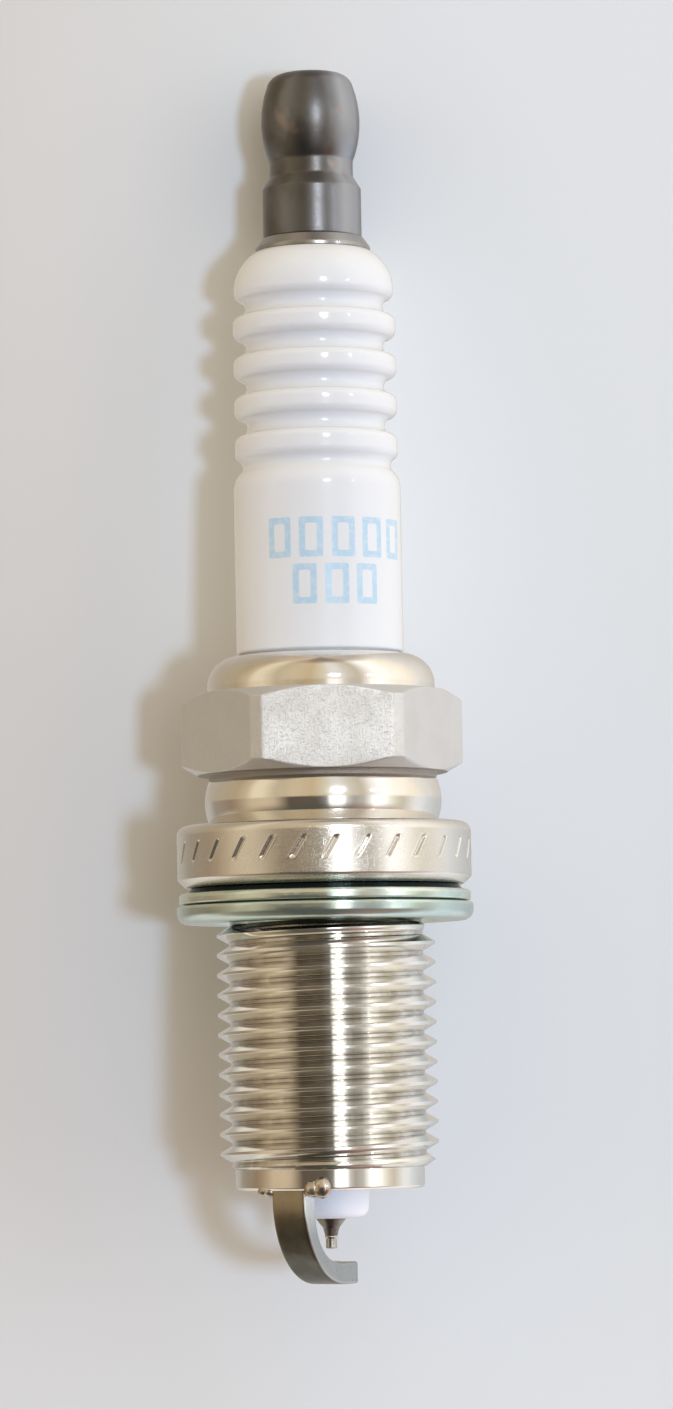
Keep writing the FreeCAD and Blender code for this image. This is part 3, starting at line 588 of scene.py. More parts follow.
def alloy_finish():
    """Dull nickel alloy of the strap: faces darker towards the bend, bright cut sides."""
    straw, bend_dark, cloud = (0.33, 0.28, 0.20), (0.11, 0.108, 0.098), (0.40, 0.37, 0.31)
    clean, fleck = (0.78, 0.79, 0.79), (0.2, 0.17, 0.14)
    look = Finish("nickel_alloy")
    low = look.span(look.height, SHELL_END - 0.4, SHELL_END - 3.2)
    tone = look.blend(low, straw, bend_dark)
    tone = look.tint(tone, look.patches(1.1, 4, 0.35, 0.7, offset=3.0), 0.12, cloud)
    sideways = (-math.sin(STRAP_AZIMUTH), math.cos(STRAP_AZIMUTH), 0.0)
    aside = look.math("ABSOLUTE", look.vector("DOT_PRODUCT", look.place, sideways))
    cut = look.span(aside, STRAP_WIDTH / 2 - 0.125, STRAP_WIDTH / 2 - 0.025)
    tone = look.tint(tone, cut, look.gain(low, -0.45, 0.9), clean)
    tone = look.tint(tone, look.patches(6.0, 3, 0.6, 0.7, offset=1.0), 0.4, fleck)
    rough = look.gain(look.noise(3.0, 3, offset=8.0), 0.16, 0.14)
    dents = look.bump(look.noise(0.9, 2, offset=15.0), 0.03)
    return look.finish(tone, rough, 1.0, look.bump(look.noise(12.0, 3), 0.0012, dents))


def weld_finish():
    """Resolidified metal, bright with dark heat tint."""
    bright, tinted = (0.68, 0.63, 0.56), (0.42, 0.35, 0.28)
    look = Finish("weld_metal")
    tone = look.blend(look.patches(1.8, 4, 0.35, 0.65, offset=3.0), bright, tinted)
    rough = look.gain(look.noise(4.0, 3), 0.2, 0.13)
    return look.finish(tone, rough, 1.0, look.bump(look.noise(2.2, 2, offset=9.0), 0.012))


def plain_finish(name, tones, roughness, metal=1.0, scale=1.5, depth=0.004):
    """A cloudy two-tone finish, for the inner pieces and the electrodes."""
    look = Finish(name)
    grains = look.noise(scale * 8, 3, offset=6.0)
    tone = look.blend(look.patches(scale, 4, 0.35, 0.65), *tones)
    rough = look.gain(grains, 0.15, roughness)
    return look.finish(tone, rough, metal, look.bump(grains, depth))


# ---- sizes shared with the CAD
SHELL_BORE = 6.3
SHELL_NECK = 7.15
M14 = Thread(bore=4.8, root=6.1, crest=6.87, half_root=0.09, half_crest=0.535, pitch=1.25, groove=-4.235)
NECK_BOTTOM = -2.35
NECK_RADIUS = 6.05
PILOT_TOP = -17.65
PILOT_RADIUS = 5.95
HEX_LOW = 7.05
HEX_HIGH = 12.15
HEX_SIDES = 6
HEX_FLAT = 7.85
HEX_CORNER = 8.84
HEX_CHAMFER = 0.6
HEX_LAP = 0.4
CRIMP_START = 12.3
LIP_CURL_START = 12.6
LIP_OUTER_CURL = 1.88
LIP_INNER_CURL = 1.03
LIP_OPENING = 5.27
BULGE_LOW = 7.14
BULGE_HIGH = 6.97
BULGE_CURVE = 3.5
FLANGE_TOP = 3.9
FLANGE_CHAMFER = 0.5
FLANGE_EDGE = 0.6
BARREL_RADIUS = 5.25
RIB_RADIUS = 5.12
TOP_RIB_RADIUS = 5.02
GROOVE_RADIUS = 4.739
FIRST_GROOVE = 36.35
RIB_PITCH = 2.495
GROOVES = 5
STRAP_WIDTH = 2.35

POLISHED = plated("nickel_polished", (0.84, 0.81, 0.76), (0.68, 0.63, 0.55), 0.06, rings=0.0002)
# The thread gets painted shade in its groove roots.
THREAD = plated(
    "nickel_thread", (0.86, 0.85, 0.82), (0.74, 0.71, 0.66), 0.04, rings=0.00005, painted_shade=root_shade,
)
# The satin hexagon gets painted shade on its underside.
SATIN = plated(
    "nickel_satin", (0.77, 0.77, 0.78), (0.68, 0.67, 0.66), 0.44,
    rings=0.001, scratch=0.005, strokes=0.012, painted_shade=ledge_shade,
)
FLANGE = plated("nickel_flange", (0.76, 0.735, 0.7), (0.67, 0.63, 0.57), 0.17, rings=0.0002, scratch=0.0008)
GLAZE = glaze_finish()
ZINC = gasket_finish()
DARK_STEEL = dark_steel_finish()
STUD_STEEL = plated("stud_steel", (0.38, 0.38, 0.39), (0.25, 0.24, 0.23), 0.22, rings=0.001)
ALLOY = alloy_finish()
WELD = weld_finish()
CONE_TONES = ((0.30, 0.28, 0.26), (0.2, 0.18, 0.16))
WIRE_TONES = ((0.55, 0.54, 0.52), (0.38, 0.36, 0.34))
CONE = plain_finish("electrode_nickel", CONE_TONES, 0.3, scale=2.0, depth=0.006)
PRECIOUS = plain_finish("fine_wire_metal", WIRE_TONES, 0.22, scale=2.5, depth=0.003)


# ---- shell
def hexagon_radius(angle):
    """Radius of a hexagon with a flat facing -Y, at each angle."""
    sector = TURN / HEX_SIDES
    aside = (angle + QUARTER + sector / 2) % sector - sector / 2
    return HEX_FLAT / np.cos(aside)


def feature_angles(count, first, coarse, fine, near):
    """Angles all round, closer together near each feature of a regular pattern."""
    pattern = TURN / count
    one = np.concatenate([np.arange(-near, near, fine), np.arange(near, pattern - near, coarse)])
    return np.concatenate([first + feature * pattern + one for feature in range(count)])


def make_hexagon():
    """The hexagon with its turned chamfers."""
    corners = [
        (SHELL_BORE, HEX_HIGH), (SHELL_BORE, HEX_LOW - HEX_LAP),
        (SHELL_NECK, HEX_LOW - HEX_LAP), (SHELL_NECK + 0.05, HEX_LOW), (HEX_FLAT, HEX_LOW),
        (HEX_CORNER, HEX_LOW + HEX_CHAMFER), (HEX_CORNER, HEX_HIGH - HEX_CHAMFER),
        (HEX_FLAT, HEX_HIGH),
    ]

    def clipped(angle, radius, height):
        beside = (height > HEX_LOW - 0.01) & (height < HEX_HIGH + 0.01) & (radius > HEX_FLAT - 0.12)
        return np.where(beside, smooth_least(radius, hexagon_radius(angle), 0.07), radius)

    first, coarse, fine, near = [math.radians(degrees) for degrees in (-60, 2.2, 0.4, 4)]
    angles = feature_angles(HEX_SIDES, first, coarse, fine, near)
    return turned("shell_hexagon", corners, ease=0.06, longest=0.09, angles=angles, shape=clipped)


def make_lip():
    """The crimped lip rolled over the insulator's shoulder, above the hexagon."""
    corners = [
        (LIP_OPENING, LIP_CURL_START + LIP_OUTER_CURL),
        (LIP_OPENING, CRIMP_START + LIP_INNER_CURL, LIP_INNER_CURL, RIGHT),
        (SHELL_BORE, CRIMP_START), (SHELL_BORE, HEX_HIGH - 0.1), (SHELL_NECK, HEX_HIGH - 0.1),
        (SHELL_NECK, LIP_CURL_START, LIP_OUTER_CURL, LEFT),
    ]
    return turned("shell_lip", corners, ease=0.05, longest=0.12, around=192)


def make_bulge():
    """The heat-caulked bulge between the hexagon and the flange."""
    corners = [
        (SHELL_BORE, HEX_LOW - HEX_LAP), (SHELL_BORE, FLANGE_TOP - 0.1),
        (BULGE_LOW - 0.04, FLANGE_TOP - 0.1), (BULGE_LOW, FLANGE_TOP, BULGE_CURVE, LEFT),
        (BULGE_HIGH, HEX_LOW), (BULGE_HIGH - 0.17, HEX_LOW),
    ]
    return turned("shell_bulge", corners, ease=0.04, longest=0.12, around=192)


TICKS = 29
TICK_MIDDLE = 2.175
TICK_HALF_HEIGHT = 0.625
TICK_LEAN = 0.38
TICK_DEPTH = 0.15
TICK_RIM = 0.008
# Where each of these fades out: distances from the stroke's middle, and shares of its half height.
STROKE_FADE = (0.07, 0.17)
RIM_FADE = (0.17, 0.33)
END_FADE = (0.88, 1.08)
RIM_END_FADE = (1.0, 1.25)


def stamped(angle, radius, height):
    """The flange's radius with its slanted stamped ticks, each with a slightly raised rim."""
    pattern = TURN / TICKS
    share = (height - TICK_MIDDLE) / TICK_HALF_HEIGHT
    local = ((angle + QUARTER + pattern / 2) % pattern - pattern / 2) * FLANGE_RADIUS
    aside = np.abs(local - share * TICK_LEAN)
    stroke = 1 - smooth_step(*STROKE_FADE, aside)
    ends = 1 - smooth_step(*END_FADE, np.abs(share))
    rim = 1 - smooth_step(*RIM_FADE, aside)
    raised = TICK_RIM * (rim - stroke) * (1 - smooth_step(*RIM_END_FADE, np.abs(share)))
    outside = radius > FLANGE_RADIUS - 0.3
    return radius - np.where(outside, TICK_DEPTH * stroke * ends - raised, 0.0)


def make_flange():
    """The gasket flange with its stamped ticks."""
    corners = [
        (SHELL_BORE, FLANGE_TOP), (SHELL_BORE, 0.2), (NECK_RADIUS, 0.0),
        (FLANGE_RADIUS - FLANGE_CHAMFER, 0.0), (FLANGE_RADIUS, FLANGE_CHAMFER),
        (FLANGE_RADIUS, FLANGE_TOP - FLANGE_EDGE, FLANGE_EDGE, LEFT),
        (FLANGE_RADIUS - FLANGE_EDGE, FLANGE_TOP), (7.2, FLANGE_TOP),
    ]
    angles = feature_angles(TICKS, -QUARTER, 0.02, 0.0062, 0.075)
    return turned("shell_flange", corners, ease=0.1, longest=0.07, angles=angles, shape=stamped)


def make_thread():
    """The rolled M14 thread, with its run-out above and its lead-in chamfer below."""
    envelope = [
        (M14.root, PILOT_TOP), (M14.crest, PILOT_TOP + 0.55), (M14.crest, NECK_BOTTOM - 0.6),
        (NECK_RADIUS, NECK_BOTTOM), (NECK_RADIUS, 0.05),
    ]
    return threaded("shell_thread", M14, envelope, 288)


def make_pilot():
    """The plain pilot below the thread, and the stepped bore behind it."""
    narrow, pocket, inner = 3.8, 4.5, 5.6
    corners = [
        (M14.bore, -4.0), (M14.bore, -7.2), (narrow, -8.2), (narrow, -9.4), (pocket, -10.1),
        (pocket, SHELL_END), (PILOT_RADIUS - 0.15, SHELL_END), (PILOT_RADIUS, SHELL_END + 0.15),
        (PILOT_RADIUS, PILOT_TOP - 0.02), (inner, PILOT_TOP + 0.3), (inner, -4.0),
    ]
    return turned("shell_pilot", corners, ease=0.05, longest=0.4, around=160)


# ---- insulator
def groove_corners(centre, upper_radius):
    """One deep groove, from its lower rib up."""
    return [
        (RIB_RADIUS, centre - 1.02, 0.5, LEFT), (GROOVE_RADIUS, centre - 0.534, 0.55, RIGHT),
        (GROOVE_RADIUS, centre + 0.534, 0.5, LEFT), (upper_radius, centre + 1.02),
    ]


def make_insulator():
    """The insulator with its grooves, barrel, steps, nose and bore. The last groove is shallower."""
    last = FIRST_GROOVE - (GROOVES - 1) * RIB_PITCH
    stud_bore, stem_bore, body, shoulder = 2.0, 1.15, 4.7, 6.2
    corners = [
        (stud_bore, INSULATOR_TOP), (stud_bore, -3.9), (stem_bore, -4.75),
        (stem_bore, INSULATOR_TIP), (1.65, INSULATOR_TIP, 0.75, LEFT),
        (2.4, INSULATOR_TIP + 0.75), (3.45, -8.3), (3.6, -8.0), (body, -6.9), (body, 1.6),
        (shoulder, 3.1), (shoulder, 7.25), (BARREL_RADIUS, 8.2), (BARREL_RADIUS, 13.2),
        (BARREL_RADIUS - 0.2, 13.4), (BARREL_RADIUS - 0.2, 14.5), (BARREL_RADIUS, 14.7),
        (BARREL_RADIUS, last - 1.48, 1.6, LEFT), (4.811, last - 0.379, 0.55, RIGHT),
        (4.901, last + 0.455, 0.5, LEFT), (RIB_RADIUS, last + 0.869),
    ]
    for groove in range(GROOVES - 2, -1, -1):
        upper = RIB_RADIUS if groove else TOP_RIB_RADIUS
        corners += groove_corners(FIRST_GROOVE - groove * RIB_PITCH, upper)
    corners += [(TOP_RIB_RADIUS, 37.4, 2.86, LEFT), (3.6, INSULATOR_TOP)]
    return turned("insulator_glazed", corners, ease=0.08, longest=0.6, around=176)


# ---- terminal
M4 = Thread(bore=0.02, root=1.54, crest=1.97, half_root=0.05, half_crest=0.3, pitch=0.7, groove=41.1)
STUD_THREAD_START = 41.3


def make_nut():
    """The terminal nut: collar, neck and barrel-shaped head, with a blind bore."""
    bore, bore_end, collar, neck = 2.05, 48.9, 3.1, 2.62
    corners = [
        (0.0, PLUG_TOP), (0.0, bore_end), (bore, bore_end), (bore, NUT_FOOT),
        (collar, NUT_FOOT), (collar, 43.8), (neck, 44.55), (neck, 45.55),
        (2.77, 45.95, 6.6, LEFT), (2.72, 50.2, 1.05, LEFT), (1.5, PLUG_TOP),
    ]
    return turned("terminal_nut_turned", corners, ease=0.09, longest=0.5, around=144)


def make_stud_body():
    """The stud's flange and its grooved shank in the insulator."""
    shank, groove_floor, flange, core = 1.85, 1.55, 3.62, 1.5
    corners = [(0.0, STUD_THREAD_START), (0.0, STUD_LOW.z), (shank, STUD_LOW.z)]
    for groove in range(4):
        low = 12.32 + 0.7 * groove
        high = low + 0.36
        corners += [(shank, low), (groove_floor, low), (groove_floor, high), (shank, high)]
    corners += [
        (shank, INSULATOR_TOP), (flange, INSULATOR_TOP), (flange, 40.12), (3.2, NUT_FOOT),
        (core, NUT_FOOT), (core, STUD_THREAD_START),
    ]
    return turned("stud_body", corners, ease=0.05, longest=0.8, around=144)


def make_stud_thread():
    """The stud's M4 thread, hidden until the nut is lifted."""
    envelope = [
        (M4.root, NUT_FOOT), (M4.root, STUD_THREAD_START), (M4.crest, STUD_THREAD_START + 0.4),
        (M4.crest, STUD_HIGH.z - 0.4), (M4.crest - 0.4, STUD_HIGH.z),
    ]
    return threaded("stud_thread", M4, envelope, 96)


# ---- gasket
def uneven(angle, radius, height):
    """The gasket's radius, with slight waves round its rim."""
    wave = 0.012 * np.sin(5 * angle + 0.7) + 0.008 * np.sin(11 * angle)
    return radius - np.where(radius > 8.6, 0.02 - wave, 0.0)


def make_gasket():
    """The folded gasket ring: a crowned upper fold, a seam and a rolled lower fold."""
    top = GASKET_HIGH.z
    bottom = GASKET_LOW.z
    outer = GASKET_HIGH.x
    inner, roll, seam_floor, upper = 6.45, 0.65, 8.85, 9.2
    corners = [
        (inner, top), (inner, -1.6), (7.15, bottom), (outer - roll, bottom, roll, LEFT),
        (outer, bottom + roll), (outer, -1.25, 0.1, LEFT), (outer - 0.1, -1.15),
        (seam_floor, -1.15), (seam_floor, -1.05), (upper - 0.15, -1.05, 0.15, LEFT),
        (upper, -0.9), (upper, -0.57, 0.22, LEFT), (upper - 0.22, -0.35), (8.8, -0.35),
        (8.4, top),
    ]
    return turned("gasket_folded", corners, ease=0.05, longest=0.14, around=224, shape=uneven)


# ---- firing end
STRAP_OUTER = 5.6
STRAP_THICK = 1.38
STRAP_ROOT_THICK = 1.44
STRAP_BEND = 5.4
STRAP_TIP = -1.25
STRAP_EASE = 0.17
EDGE_PARTS = 5
FACE_PARTS = (4, 8, 4, 8)
TO_STRAP = Matrix.Rotation(STRAP_AZIMUTH, 3, "Z")


def strap_frames():
    """Centre line of the strap with its outward normals, from inside the shell to the strap's end."""
    bend_out = STRAP_OUTER - STRAP_BEND
    bend_up = PLUG_BOTTOM + STRAP_BEND
    outward = Vector((1.0, 0.0))
    downward = Vector((0.0, -1.0))
    frames = []
    for height in np.linspace(SHELL_END + 0.5, bend_up, 6)[:-1]:
        frames.append((Vector((STRAP_OUTER, height)), outward, STRAP_ROOT_THICK))
    bend_parts = 28
    for part in range(bend_parts + 1):
        share = part / bend_parts
        normal = Vector((math.cos(QUARTER * share), -math.sin(QUARTER * share)))
        stretched = 0.32 * math.sin(2 * QUARTER * share) ** 1.5
        thick = STRAP_ROOT_THICK - stretched - (STRAP_ROOT_THICK - STRAP_THICK) * share
        frames.append((Vector((bend_out, bend_up)) + normal * STRAP_BEND, normal, thick))
    for out in np.linspace(bend_out, STRAP_TIP, 9)[1:]:
        frames.append((Vector((out, PLUG_BOTTOM)), downward, STRAP_THICK))
    return frames


def strap_section(thick, shrink):
    """Rounded rectangle (across, inward) of the strap, counted from its outer face."""
    half = STRAP_WIDTH / 2 - shrink - STRAP_EASE
    near = STRAP_EASE + shrink
    far = thick - STRAP_EASE - shrink
    edges = []
    for quarter, (across, inward) in enumerate(((half, near), (half, far), (-half, far), (-half, near))):
        for part in range(EDGE_PARTS + 1):
            angle = QUARTER * (quarter - 1 + part / EDGE_PARTS)
            edges.append(
                Vector((across + STRAP_EASE * math.cos(angle), inward + STRAP_EASE * math.sin(angle)))
            )
    section = []
    for index, spot in enumerate(edges):
        face, part = divmod(index, EDGE_PARTS + 1)
        count = FACE_PARTS[face] if part == EDGE_PARTS else 1
        following = edges[(index + 1) % len(edges)]
        section += [spot.lerp(following, share / count) for share in range(count)]
    return section


def strap_rings():
    """The strap's frames with how much each section shrinks, closed by an eased sheared end."""
    frames = strap_frames()
    end_spot, end_normal, thick = frames.pop()
    rings = [(*one, 0.0) for one in frames]
    for back, shrink in ((0.035, 0.0), (0.0, 0.025), (0.0, 0.07)):
        rings.append((end_spot + Vector((back, 0)), end_normal, thick, shrink))
    return rings


def make_strap():
    """The bent strap, with eased edges, slightly worn faces and a sheared end."""
    rings = strap_rings()
    vertices = []
    for spot, normal, thick, shrink in rings:
        for across, inward in strap_section(thick, shrink):
            out = spot - normal * inward
            local = Vector((out.x, across, out.y))
            local.y += 0.012 * noise.noise(local * 2.2)
            vertices.append(TO_STRAP @ local * MM)
    count = len(vertices) // len(rings)
    faces = grid_faces(len(rings), count, False)
    faces.append(tuple(reversed(range(count))))
    faces.append(tuple(range((len(rings) - 1) * count, len(rings) * count)))
    return piece("strap_bent", vertices, faces)


# Lumps as (centre, half sizes) in the strap's own directions: two at its front, two at its rear.
BEADS = [
    ((5.4, 1.6, -18.85), (0.5, 0.55, 0.6)), ((5.28, 2.2, -18.8), (0.5, 0.62, 0.72)),
    ((5.2, -1.4, -19.0), (0.55, 0.45, 0.45)), ((5.25, -1.85, -18.98), (0.45, 0.4, 0.4)),
]
LUMP_SEED = 3.1


def make_beads():
    """The weld beads at the strap's root: overlapping lumps of resolidified metal."""
    work = bmesh.new()
    for centre, halves in BEADS:
        made = bmesh.ops.create_icosphere(work, subdivisions=4, radius=1.0)
        for vertex in made["verts"]:
            lump = 1 + 0.1 * noise.noise(vertex.co * 1.3 + Vector((LUMP_SEED, 0, 0)))
            lump += 0.015 * noise.noise(vertex.co * 4.5 + Vector((0, LUMP_SEED, 0)))
            spot = Vector([vertex.co[axis] * halves[axis] * lump for axis in range(3)])
            vertex.co = TO_STRAP @ (spot + Vector(centre)) * MM
    mesh = bpy.data.meshes.new("weld_beads")
    work.to_mesh(mesh)
    work.free()
    return smoothed("weld_beads", mesh)


STEM_RADIUS = 1.1
CORE_RADIUS = 0.6
CONE_END = -21.98
WELD_LOW = -22.2


def make_electrode():
    """The centre electrode: head, stem and exposed cone, bored for its copper core."""
    collar, head = 1.9, 1.25
    corners = [
        (CORE_RADIUS, -1.8), (CORE_RADIUS, -18.0), (0.0, -18.0), (0.0, CONE_END),
        (0.38, CONE_END), (0.52, -21.45), (STEM_RADIUS, -20.7), (STEM_RADIUS, -4.8),
        (collar, -4.0), (collar, -2.8), (head, -2.8), (head, -1.8),
    ]
    return turned("centre_electrode_turned", corners, ease=0.05, longest=0.8, around=96)


def make_wire():
    """The fine wire, with its eased sparking edge."""
    top, radius = -22.0, 0.35
    corners = [(0.0, top), (0.0, WIRE_LOW.z), (radius, WIRE_LOW.z), (radius, top)]
    return turned("fine_wire_drawn", corners, ease=0.04, longest=0.1, around=64)


def make_bead():
    """The laser weld that joins the wire to the cone, a ring of small overlapping spots."""
    top = -21.9
    corners = [
        (0.0, top), (0.0, WELD_LOW), (0.3, WELD_LOW), (0.41, -22.06, 0.14, LEFT),
        (0.38, -21.94), (0.3, top),
    ]

    def spots(angle, radius, height):
        return radius * (0.98 + 0.035 * np.abs(np.sin(6 * angle)))

    return turned("tip_weld_bead", corners, ease=0.02, longest=0.04, around=96, shape=spots)


# ---- pieces on the frame
def dress(made, finish, slot, *nodes, body="plug"):
    """Give a new piece its material, and let it ride on its body and stand for its CAD nodes."""
    made.data.materials.append(finish)
    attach(made, body)
    if nodes:
        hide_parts(*nodes)


PLATING = "nickel_plated_steel"
dress(make_hexagon(), SATIN, PLATING, "shell")
dress(make_lip(), POLISHED, PLATING)
dress(make_bulge(), POLISHED, PLATING)
dress(make_flange(), FLANGE, PLATING)
dress(make_thread(), THREAD, PLATING)
dress(make_pilot(), POLISHED, PLATING)
dress(make_insulator(), GLAZE, "glazed_alumina", "insulator")
dress(make_stud_body(), STUD_STEEL, "bright_steel", "terminal_stud")
dress(make_stud_thread(), STUD_STEEL, "bright_steel")
dress(make_strap(), ALLOY, "nickel_alloy", "ground_electrode")
dress(make_electrode(), CONE, "nickel_alloy", "centre_electrode")
dress(make_bead(), WELD, "weld_bead", "tip_weld")
dress(make_wire(), PRECIOUS, "precious_metal", "iridium_tip")
dress(make_beads(), WELD, "weld_bead", "ground_weld")
dress(make_nut(), DARK_STEEL, "dark_steel", "terminal_nut", body="terminal_nut")
dress(make_gasket(), ZINC, "zinc_plated_steel", "gasket", body="gasket")

COPPER = ((0.72, 0.38, 0.24), (0.5, 0.25, 0.16))
STRAP_COPPER = ((0.7, 0.36, 0.22), (0.48, 0.24, 0.15))
SEAL_GLASS = ((0.2, 0.2, 0.21), (0.42, 0.3, 0.22))
CARBON = ((0.1, 0.1, 0.1), (0.2, 0.19, 0.18))
RING_STEEL = ((0.5, 0.47, 0.43), (0.33, 0.3, 0.27))
TALC = ((0.72, 0.7, 0.66), (0.6, 0.58, 0.54))
PAD_TONES = ((0.6, 0.59, 0.57), (0.42, 0.4, 0.38))
# CAD nodes that keep their shape: tones and roughness, then metal, scale and depth where they differ.
INNER = {
    "centre_core": (COPPER, 0.3),
    "ground_core": (STRAP_COPPER, 0.32),
    "glass_seal_lower": (SEAL_GLASS, 0.35, 0.2),
    "glass_seal_upper": (SEAL_GLASS, 0.35, 0.2),
    "resistor": (CARBON, 0.7, 0.0, 3.0),
    "packing_washer": (RING_STEEL, 0.35),
    "packing_ring_lower": (RING_STEEL, 0.32),
    "packing_ring_upper": (RING_STEEL, 0.32),
    "talc_filling": (TALC, 0.75, 0.0, 3.0, 0.01),
    "ground_pad": (PAD_TONES, 0.24, 1.0, 2.5, 0.003),
}
for node_name, settings in INNER.items():
    node_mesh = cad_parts[node_name].data
    node_mesh.materials.clear()
    node_mesh.materials.append(plain_finish(node_name + "_finish", *settings))


# ---- stage
FLOOR_LEAN = 0.1095
FLOOR_DEPTH = 9.43
FLOOR_TOUCH = -1.6
FLOOR_HALF = 900.0
# Floor tones for painted light: darker and warmer where less light falls, cooler and brighter where it is
# lit.
FLOOR_SHADED_WARM = (0.68, 0.64, 0.585)
FLOOR_LIT_COOL = (0.775, 0.79, 0.775)


def floor_finish():
    """Pale paper with painted light: darker and warmer to the left, less so towards the bottom; seen from
    its front only.
    """
    look = Finish("floor_paper")
    uneven_across = look.gain(look.noise(0.02, 2), 16.0, look.across)
    # Painted light: the share of the lit tone, rising to the right and towards the bottom.
    lit_share = look.span(uneven_across, -26.0, 24.0)
    lower = look.span(look.height, 0.0, -38.0, 0.0, 0.6)
    lit_share = look.math("MAXIMUM", lit_share, lower)
    look.finish(look.blend(lit_share, FLOOR_SHADED_WARM, FLOOR_LIT_COOL), 0.85)
    clear = look.add("ShaderNodeBsdfTransparent").outputs[0]
    behind = look.add("ShaderNodeNewGeometry").outputs["Backfacing"]
    shown = look.mixed(behind, look.surface.outputs[0], clear)
    look.put(look.tree.nodes["Material Output"].inputs["Surface"], shown)
    return look.material


def make_floor():
    """The pale surface that the plug lies on: it touches the gasket, the hexagon and nearly the head.

    Seen from its far side it lets the view through, so the plug can be looked at from all round.
    """
    corners = []
    for side, up in ((-1, -1), (1, -1), (1, 1), (-1, 1)):
        height = up * FLOOR_HALF
        depth = FLOOR_DEPTH - FLOOR_LEAN * (height - FLOOR_TOUCH)
        corners.append((side * FLOOR_HALF * MM, depth * MM, height * MM))
    mesh = bpy.data.meshes.new("floor")
    mesh.from_pydata(corners, [], [(0, 1, 2, 3)])
    mesh.materials.append(floor_finish())
    floor = placed("floor", mesh)
    floor.visible_diffuse = False
    floor.visible_shadow = False
    floor.visible_glossy = False


# ---- light
# The studio around the plug at four heights, as stops of azimuth in degrees and linear colour. An
# azimuth is 0 towards the camera's side and positive to the right, and a turn ends where it starts.
# It stands for a pale room with a dark gap where the camera is, a warm wall on the left and bright
# soft panels on the right.
LEVEL_STUDIO = [
    (-180, (0.51, 0.48, 0.45)), (-150, (0.52, 0.49, 0.44)), (-134, (0.36, 0.32, 0.26)),
    (-114, (0.34, 0.27, 0.2)), (-104, (0.33, 0.24, 0.17)), (-95, (0.4, 0.3, 0.2)),
    (-87, (0.5, 0.39, 0.27)), (-77, (0.66, 0.53, 0.36)), (-60, (0.7, 0.57, 0.4)),
    (-52, (0.64, 0.52, 0.38)), (-44, (0.4, 0.32, 0.22)), (-36, (0.13, 0.1, 0.075)),
    (-8, (0.13, 0.11, 0.085)), (2, (0.26, 0.25, 0.23)), (5, (2.2, 2.2, 2.2)), (15, (2.2, 2.2, 2.2)),
    (21, (0.72, 0.71, 0.7)), (28, (0.46, 0.43, 0.38)), (38, (0.6, 0.58, 0.54)),
    (45, (1.15, 1.15, 1.12)), (50, (1.9, 1.9, 1.85)), (57, (1.6, 1.57, 1.5)),
    (66, (1.1, 1.08, 1.0)), (74, (0.85, 0.8, 0.64)), (82, (0.7, 0.65, 0.55)),
    (90, (0.85, 0.82, 0.77)), (99, (0.98, 0.97, 0.98)), (109, (0.92, 0.96, 1.0)),
    (121, (0.76, 0.8, 0.83)), (139, (0.64, 0.68, 0.71)),
]
HIGH_STUDIO = [
    (-180, (0.55, 0.5, 0.45)), (-130, (0.48, 0.42, 0.32)), (-98, (0.5, 0.4, 0.26)),
    (-84, (0.64, 0.52, 0.35)), (-75, (0.9, 0.78, 0.57)), (-65, (0.9, 0.78, 0.57)),
    (-50, (0.62, 0.53, 0.37)), (-30, (0.7, 0.58, 0.4)), (-13, (0.67, 0.52, 0.33)),
    (2, (0.8, 0.75, 0.6)), (8, (0.92, 0.89, 0.85)), (14, (0.92, 0.89, 0.85)),
    (25, (0.75, 0.7, 0.6)), (37, (0.68, 0.6, 0.48)), (48, (1.1, 1.05, 1.0)),
    (60, (1.4, 1.38, 1.35)), (75, (1.3, 1.25, 1.15)), (95, (1.2, 1.1, 0.95)),
    (120, (0.9, 0.88, 0.85)),
]
TOP_STUDIO = [
    (-180, (0.45, 0.38, 0.3)), (-100, (0.65, 0.53, 0.4)), (-60, (0.75, 0.6, 0.45)),
    (-20, (0.33, 0.26, 0.19)), (20, (0.33, 0.27, 0.22)), (60, (0.6, 0.5, 0.4)),
    (100, (0.6, 0.55, 0.5)),
]
LOW_STUDIO = [
    (-180, (0.5, 0.48, 0.45)), (-130, (0.95, 0.9, 0.8)), (-112, (0.9, 0.82, 0.7)),
    (-94, (0.48, 0.38, 0.28)), (-67, (0.3, 0.24, 0.16)), (-34, (0.1, 0.1, 0.08)),
    (-5, (0.1, 0.1, 0.085)), (10, (0.17, 0.15, 0.14)), (26, (0.27, 0.19, 0.18)),
    (46, (0.45, 0.27, 0.22)), (70, (0.48, 0.36, 0.34)), (88, (0.75, 0.68, 0.68)),
    (105, (1.15, 1.1, 1.12)), (140, (1.0, 1.0, 1.0)),
]
AMBIENT_GAIN = 0.33
BACKGROUND = (0.72, 0.73, 0.74, 1.0)
# Each studio above or below the level one, with the sines of the elevations between which it fades in.
STUDIO_FADES = ((HIGH_STUDIO, 0.04, 0.085), (TOP_STUDIO, 0.85, 0.97), (LOW_STUDIO, -0.12, -0.4))


def studio_ramp(look, share, stops):
    """A colour by azimuth, as a share of the turn, through a studio's stops."""
    made = look.add("ShaderNodeValToRGB", [(0, share)])
    stops = stops + [(180, stops[0][1])]
    elements = made.color_ramp.elements
    while len(elements) < len(stops):
        elements.new(0.5)
    for element, (degrees, colour) in zip(elements, stops):
        element.position = (degrees + 180) / 360
        element.color = (*colour, 1.0)
    return made.outputs["Color"]


